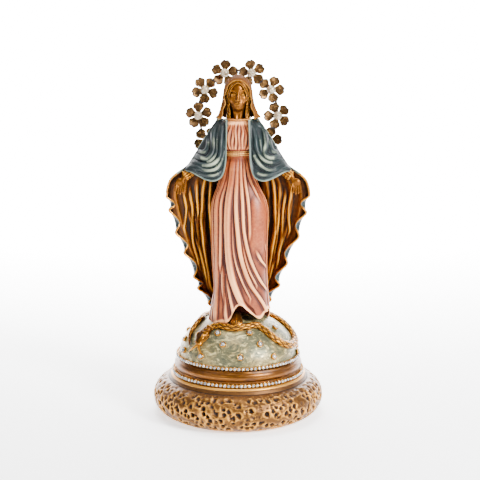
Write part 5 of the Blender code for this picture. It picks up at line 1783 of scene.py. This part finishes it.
def petal_mesh():
    """A heart-shaped petal along +Z, hollow toward -Y, thickened afterwards; edge tells how near the rim a
    point is.
    """
    rows, edges = [], []
    for t in np.linspace(0, 1, 17):
        half = 1.45 + 2.05 * ramp(t, 0.05, 0.60) - 0.5 * max(0.0, (t - 0.66) / 0.34) ** 2
        row, rim = [], []
        for s in np.linspace(-1, 1, 15):
            notch = 0.7 * math.exp(-((s / 0.24) ** 2)) * t**8
            round_off = 2.4 * abs(s) ** 2.6 * t**3
            along = 1.5 + 7.5 * t - notch - round_off
            x = half * s
            cup = 1.9 * (along / PETAL_LENGTH) ** 2 + 0.75 * s * s * t - 0.25
            vein = 0.10 * math.cos(s * 16) * (1 - abs(s)) * ramp(t, 0.1, 0.4)
            row.append((x * MM, -(cup + vein) * MM, along * MM))
            rim.append(max(ramp(abs(s), 0.74, 1.0), ramp(t + 0.10 * math.exp(-((s / 0.3) ** 2)), 0.84, 0.99)))
        rows.append(row)
        edges.append(rim)
    mesh = grid_mesh("petal", np.array(rows))
    keep(mesh, "edge", np.array(edges).reshape(-1))
    return mesh


def flower_recipe():
    """Turns copies of a petal, thickened beforehand into stamped metal, round a flower's middle."""
    recipe = Recipe("flower", petals=5, one=PETAL, paint=HALO_BRONZE)
    dots = recipe.add("GeometryNodePoints", None, {"Count": recipe.given("petals")})
    index = recipe.add("GeometryNodeInputIndex")
    turn = index * math.tau / recipe.given("petals")
    chance = recipe.add("FunctionNodeRandomValue", {"data_type": "FLOAT"}, {2: -0.07, 3: 0.07, "Seed": 3},
        out=1)
    facing = recipe.add("ShaderNodeCombineXYZ", None, {0: chance, 1: turn})
    copies = recipe.add("GeometryNodeObjectInfo", None, {"Object": recipe.given("one")}, out="Geometry")
    inputs = {"Points": dots, "Instance": copies, "Rotation": facing}
    ring = recipe.add("GeometryNodeInstanceOnPoints", None, inputs)
    return recipe.finish(ring, "paint")


def set_recipe():
    """Sets a copy of one shape at each point, turned in its own plane by the point's spin."""
    recipe = Recipe("set on wire", play=0.10, one=PETAL, paint=HALO_BRONZE)
    spin = recipe.named("spin")
    chance = {"data_type": "FLOAT_VECTOR"}
    limits = {0: (-1.0, -0.2, -1.0), 1: (1.0, 0.2, 1.0), "Seed": 12}
    jitter = recipe.vector("SCALE", recipe.add("FunctionNodeRandomValue", chance, limits),
        recipe.given("play"))
    facing = recipe.vector("ADD", recipe.add("ShaderNodeCombineXYZ", None, {1: spin}), jitter)
    copies = recipe.add("GeometryNodeObjectInfo", None, {"Object": recipe.given("one")}, out="Geometry")
    dots = recipe.add("GeometryNodeMeshToPoints", None, {0: recipe.given("Shape")})
    inputs = {"Points": dots, "Instance": copies, "Rotation": facing}
    stood = recipe.add("GeometryNodeInstanceOnPoints", None, inputs)
    tone = recipe.add("FunctionNodeRandomValue", {"data_type": "FLOAT"}, {2: 0.0, 3: 1.0, "Seed": 8}, out=1)
    keep_tone = {"domain": "INSTANCE", "data_type": "FLOAT"}
    toned = recipe.add("GeometryNodeStoreNamedAttribute", keep_tone,
        {0: stood, "Name": "tone", "Value": tone})
    return recipe.finish(toned, "paint")


def bronze():
    finish = Finish("halo_bronze")
    cloud = finish.noise(3.0 * MM, 5.0, 0.65, 0.8)
    speck = finish.noise(0.7 * MM, 4.0, 0.65)
    edge = finish.step(finish.relief("edge") + (cloud - 0.5) * 0.5, 0.25, 0.85)
    rub = finish.step(cloud + (speck - 0.5) * 0.3, 0.50, 0.68)
    colour = finish.mix(rub * 0.8, (0.070, 0.034, 0.010), (0.32, 0.165, 0.050))
    colour = finish.mix(edge * 0.9, colour, (0.010, 0.0045, 0.0028))
    colour = finish.mix(finish.step(speck, 0.62, 0.74) * 0.5, colour, (0.012, 0.005, 0.003))
    return finish.set(
        base_color=colour, metallic=0.85 - edge * 0.3,
        roughness=0.36 + edge * 0.15 + speck * 0.15 - rub * 0.08,
        normal=finish.bump(speck + cloud, 0.4, 0.15 * MM),
    )


def pearl_paint():
    finish = Finish("ivory_pearl")
    nacre = finish.noise(2.5 * MM, 4.0, 0.55, 1.2)
    fine = finish.noise(0.6 * MM, 3.0)
    colour = finish.mix(finish.step(nacre, 0.36, 0.64), (0.17, 0.12, 0.07), (0.36, 0.27, 0.17))
    colour = finish.mix(finish.step(fine, 0.5, 0.8) * 0.3, colour, (0.16, 0.11, 0.07))
    return finish.set(
        base_color=colour, metallic=0.12, roughness=0.20 + nacre * 0.14, coat_weight=0.4, coat_roughness=0.08,
        normal=finish.bump(nacre + fine * 0.4, 0.12, 0.12 * MM), subsurface_weight=0.15,
    )


HALO_BRONZE = bronze()
PEARL_PAINT = pearl_paint()
PETAL = helper("one_petal", petal_mesh())
thicken = PETAL.modifiers.new("metal", "SOLIDIFY")
thicken.thickness = 0.5 * MM
thicken.offset = 0.0
settle(PETAL)
FLOWER = flower_recipe().cook(empty_piece("one_flower"))
print("one petal:", len(PETAL.data.polygons), "faces; one flower:", len(FLOWER.data.polygons))

# %% [markdown]
# ## Flowers, pearls and wire
# A pearl is a drilled bead, so it isn't a bare ball: a tiny gold cap holds it at the drilled hole, and a
# smaller collar of metal ties the flower to the wire behind.

# %% Set the flowers and the pearls


def bead(name, radius, rings=14, sides=22):
    """A drilled pearl lying along Y, its hole to the front; the stamped cap round the back is made by cap."""
    angles = np.linspace(0.10, math.pi - 0.10, rings)
    outline = [(0.06, 0.72)] + [(math.sin(a), math.cos(a)) for a in angles] + [(0.06, -0.72)]
    turn = np.arange(sides) * math.tau / sides
    rows = [[(r * math.cos(a) * radius, -y * radius, r * math.sin(a) * radius) for a in turn] for r,
        y in outline]
    return helper(name, grid_mesh(name, np.array(rows), wrap=True, caps=True))


def cap(name, radius, sides=30):
    """The scalloped cap under a pearl, and the post that ties the flower to the wire."""
    outline = ((0.3, 1.55, 0), (0.3, 0.9, 0), (0.55, 0.80, 0), (0.95, 0.55, 1), (1.06, 0.20, 1),
        (0.98, 0.16, 1),
               (0.80, 0.45, 0), (0.2, 0.62, 0))
    turn = np.arange(sides) * math.tau / sides
    rows = []
    for r, y, scallop in outline:
        lift = scallop * 0.10 * np.abs(np.sin(turn * 5))
        rows.append(np.stack([r * radius * np.cos(turn), (y + lift) * radius, r * radius * np.sin(turn)],
            axis=-1))
    return helper(name, grid_mesh(name, np.array(rows), wrap=True, caps=True))


def points_of(name, nodes, y=None):
    """One point at the middle of each node's box, with a spin for each."""
    middles = []
    for node in nodes:
        low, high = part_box(node)
        middle = (low + high) / 2
        middles.append((middle.x, middle.y if y is None else y(low, high), middle.z))
    obj = helper(name, bpy.data.meshes.new(name))
    obj.data.from_pydata(middles, [], [])
    keep(obj.data, "spin", [0.12 + 0.55 * i for i in range(len(nodes))])
    return obj


def make_flowers():
    blooms = [f"flower_{i}" for i in range(1, 9)]
    pearls = [f"pearl_{i}" for i in range(1, 9)]
    low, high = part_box("pearl_1")
    radius = (high.x - low.x) / 2
    recipe = set_recipe()
    flowers = recipe.cook(points_of("halo_flowers", blooms, lambda low, high: high.y), one=FLOWER,
        paint=HALO_BRONZE)
    place(flowers, "halo_bronze", *blooms)
    one_pearl, one_cap = bead("one_pearl", radius), cap("one_cap", radius)
    beads = recipe.cook(points_of("halo_pearls", pearls), one=one_pearl, paint=PEARL_PAINT)
    place(beads, "pearl", *pearls)
    caps = recipe.cook(points_of("pearl_caps", pearls), one=one_cap, paint=HALO_BRONZE, play=0.0)
    place(caps, "halo_bronze")
    return [one_pearl, one_cap]


def make_wire():
    """The arch and its two legs, with a slight wobble and twist along the wire."""
    low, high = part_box("halo_wire")
    half_width = (high.x - low.x) / 2 - WIRE_RADIUS
    centre_z = FOOT_LEVEL + 133.4 * UNIT
    half_height = high.z - WIRE_RADIUS - centre_z
    plane = high.y - WIRE_RADIUS
    end = math.radians(152)
    turn = np.linspace(-end, end, 420)
    arch = np.stack([half_width * np.sin(turn), 0 * turn + plane, centre_z + half_height * np.cos(turn)],
        axis=-1)
    arch[:, 1] += 0.12 * MM * np.sin(turn * 9)
    arch[:, 0] += 0.15 * MM * np.sin(turn * 7 + 1)
    reach = np.linspace(0, 1, 30)[:, None]
    legs = [arch[i] + reach * [0, low.y + 0.9 * MM - plane, 0] for i in (0, -1)]
    path = np.concatenate([legs[0][::-1], arch[1:-1], legs[1]])
    for _ in range(14):
        path[1:-1] = 0.5 * path[1:-1] + 0.25 * (path[:-2] + path[2:])
    onward = unit(np.gradient(path, axis=0))
    aside = unit(np.cross(onward, [0.0, 1.0, 0.15]))
    across = np.cross(aside, onward)
    along = np.concatenate([[0], np.cumsum(np.linalg.norm(np.diff(path, axis=0), axis=1))])
    round_it = np.arange(14) * math.tau / 14
    twist = 1 + 0.05 * np.cos(round_it[None, :] * 2 + along[:, None] / (1.6 * MM))
    radius = WIRE_RADIUS * twist
    rows = path[:, None] + (radius * np.cos(round_it))[..., None] * aside[:, None]
    rows = rows + (radius * np.sin(round_it))[..., None] * across[:, None]
    obj = add_piece("halo_arch", grid_mesh("halo_arch", rows, wrap=True, caps=True), HALO_BRONZE)
    return place(obj, "halo_bronze", "halo_wire")


spares = make_flowers()
make_wire()
# %% [markdown]
# ## Stage and light
# A pale sweep stands for a floor and glows a little, so that it stays white. One soft light above and to the
# right is the key, a weak one on the left fills the shadows, a broad one hangs overhead, and one behind the
# statue lights only the sweep, since its beam is narrowed.

# %% Floor and lights


def make_stage():
    """A floor that curves up behind, so that no horizon shows."""
    finish = Finish("paper_sweep")
    fibre = finish.noise(2 * MM, 4.0)
    finish.set(base_color=finish.mix(fibre, (0.93, 0.93, 0.93), (0.97, 0.97, 0.97)), roughness=0.9)
    finish.set(normal=finish.bump(fibre, 0.05, 0.1 * MM), emission_color=(1, 1, 1, 1), emission_strength=1.4)
    profile = [(-1.6, 0.0),
        (0.9, 0.0)] + [(0.9 + 0.6 * math.sin(a), 0.6 - 0.6 * math.cos(a)) for a in np.linspace(0.1, 1.5, 12)]
    profile.append((1.5, 2.4))
    rows = np.array([[(x, y, z) for x in np.linspace(-2.5, 2.5, 6)] for y, z in profile])
    mesh = grid_mesh("paper_sweep", rows)
    obj = add_piece("paper_sweep", mesh, finish.material)


def add_light(name, size, power, place_at, at=(0, 0, 0.11), spread=180):
    data = bpy.data.lights.new(name, "AREA")
    data.shape = "DISK"
    data.size = size
    data.energy = power
    data.spread = math.radians(spread)
    obj = bpy.data.objects.new(name, data)
    bpy.context.scene.collection.objects.link(obj)
    obj.location = place_at
    obj.rotation_euler = (Vector(at) - obj.location).to_track_quat("-Z", "Y").to_euler()


make_stage()
add_light("key", 0.35, 46.0, (0.75, -0.70, 0.60))
add_light("fill", 0.8, 3.5, (-0.7, -0.8, 0.40))
add_light("top", 0.7, 12.0, (-0.1, -0.15, 1.1))
add_light("backdrop", 1.2, 200.0, (0.0, 0.55, 1.3), at=(0.0, 1.5, 0.1), spread=112)
world = bpy.data.worlds.new("studio")
world.use_nodes = True
world.node_tree.nodes["Background"].inputs["Color"].default_value = (0.95, 0.97, 1.0, 1.0)
world.node_tree.nodes["Background"].inputs["Strength"].default_value = 0.38
bpy.context.scene.world = world

# %% [markdown]
# ## The camera
# It stands about 0.7 m away, a little above the middle of the statue, and looks slightly down. The lens is
# worked out from the angle of view, so that the angle stays the value to change.

# %% Camera
camera_data = bpy.data.cameras.new("camera")
camera_data.sensor_width = 36.0
camera_data.lens = 18.0 / math.tan(math.radians(24.6) / 2)
camera = bpy.data.objects.new("camera", camera_data)
bpy.context.scene.collection.objects.link(camera)
camera.location = (0.0013, -0.700, 0.235)
aim = Vector((0.0013, 0.0, 0.1135))
camera.rotation_euler = (aim - camera.location).to_track_quat("-Z", "Y").to_euler()
bpy.context.scene.camera = camera
print("lens, mm:", round(camera_data.lens, 1))

# %% [markdown]
# ## Finish
# The single cup, stone, petal and flower were only shapes to copy, so they are removed.

# %% Clear the helpers, finish
for spare in (STUD_CUP, STUD_STONE, PETAL, FLOWER, *spares):
    bpy.data.objects.remove(spare)
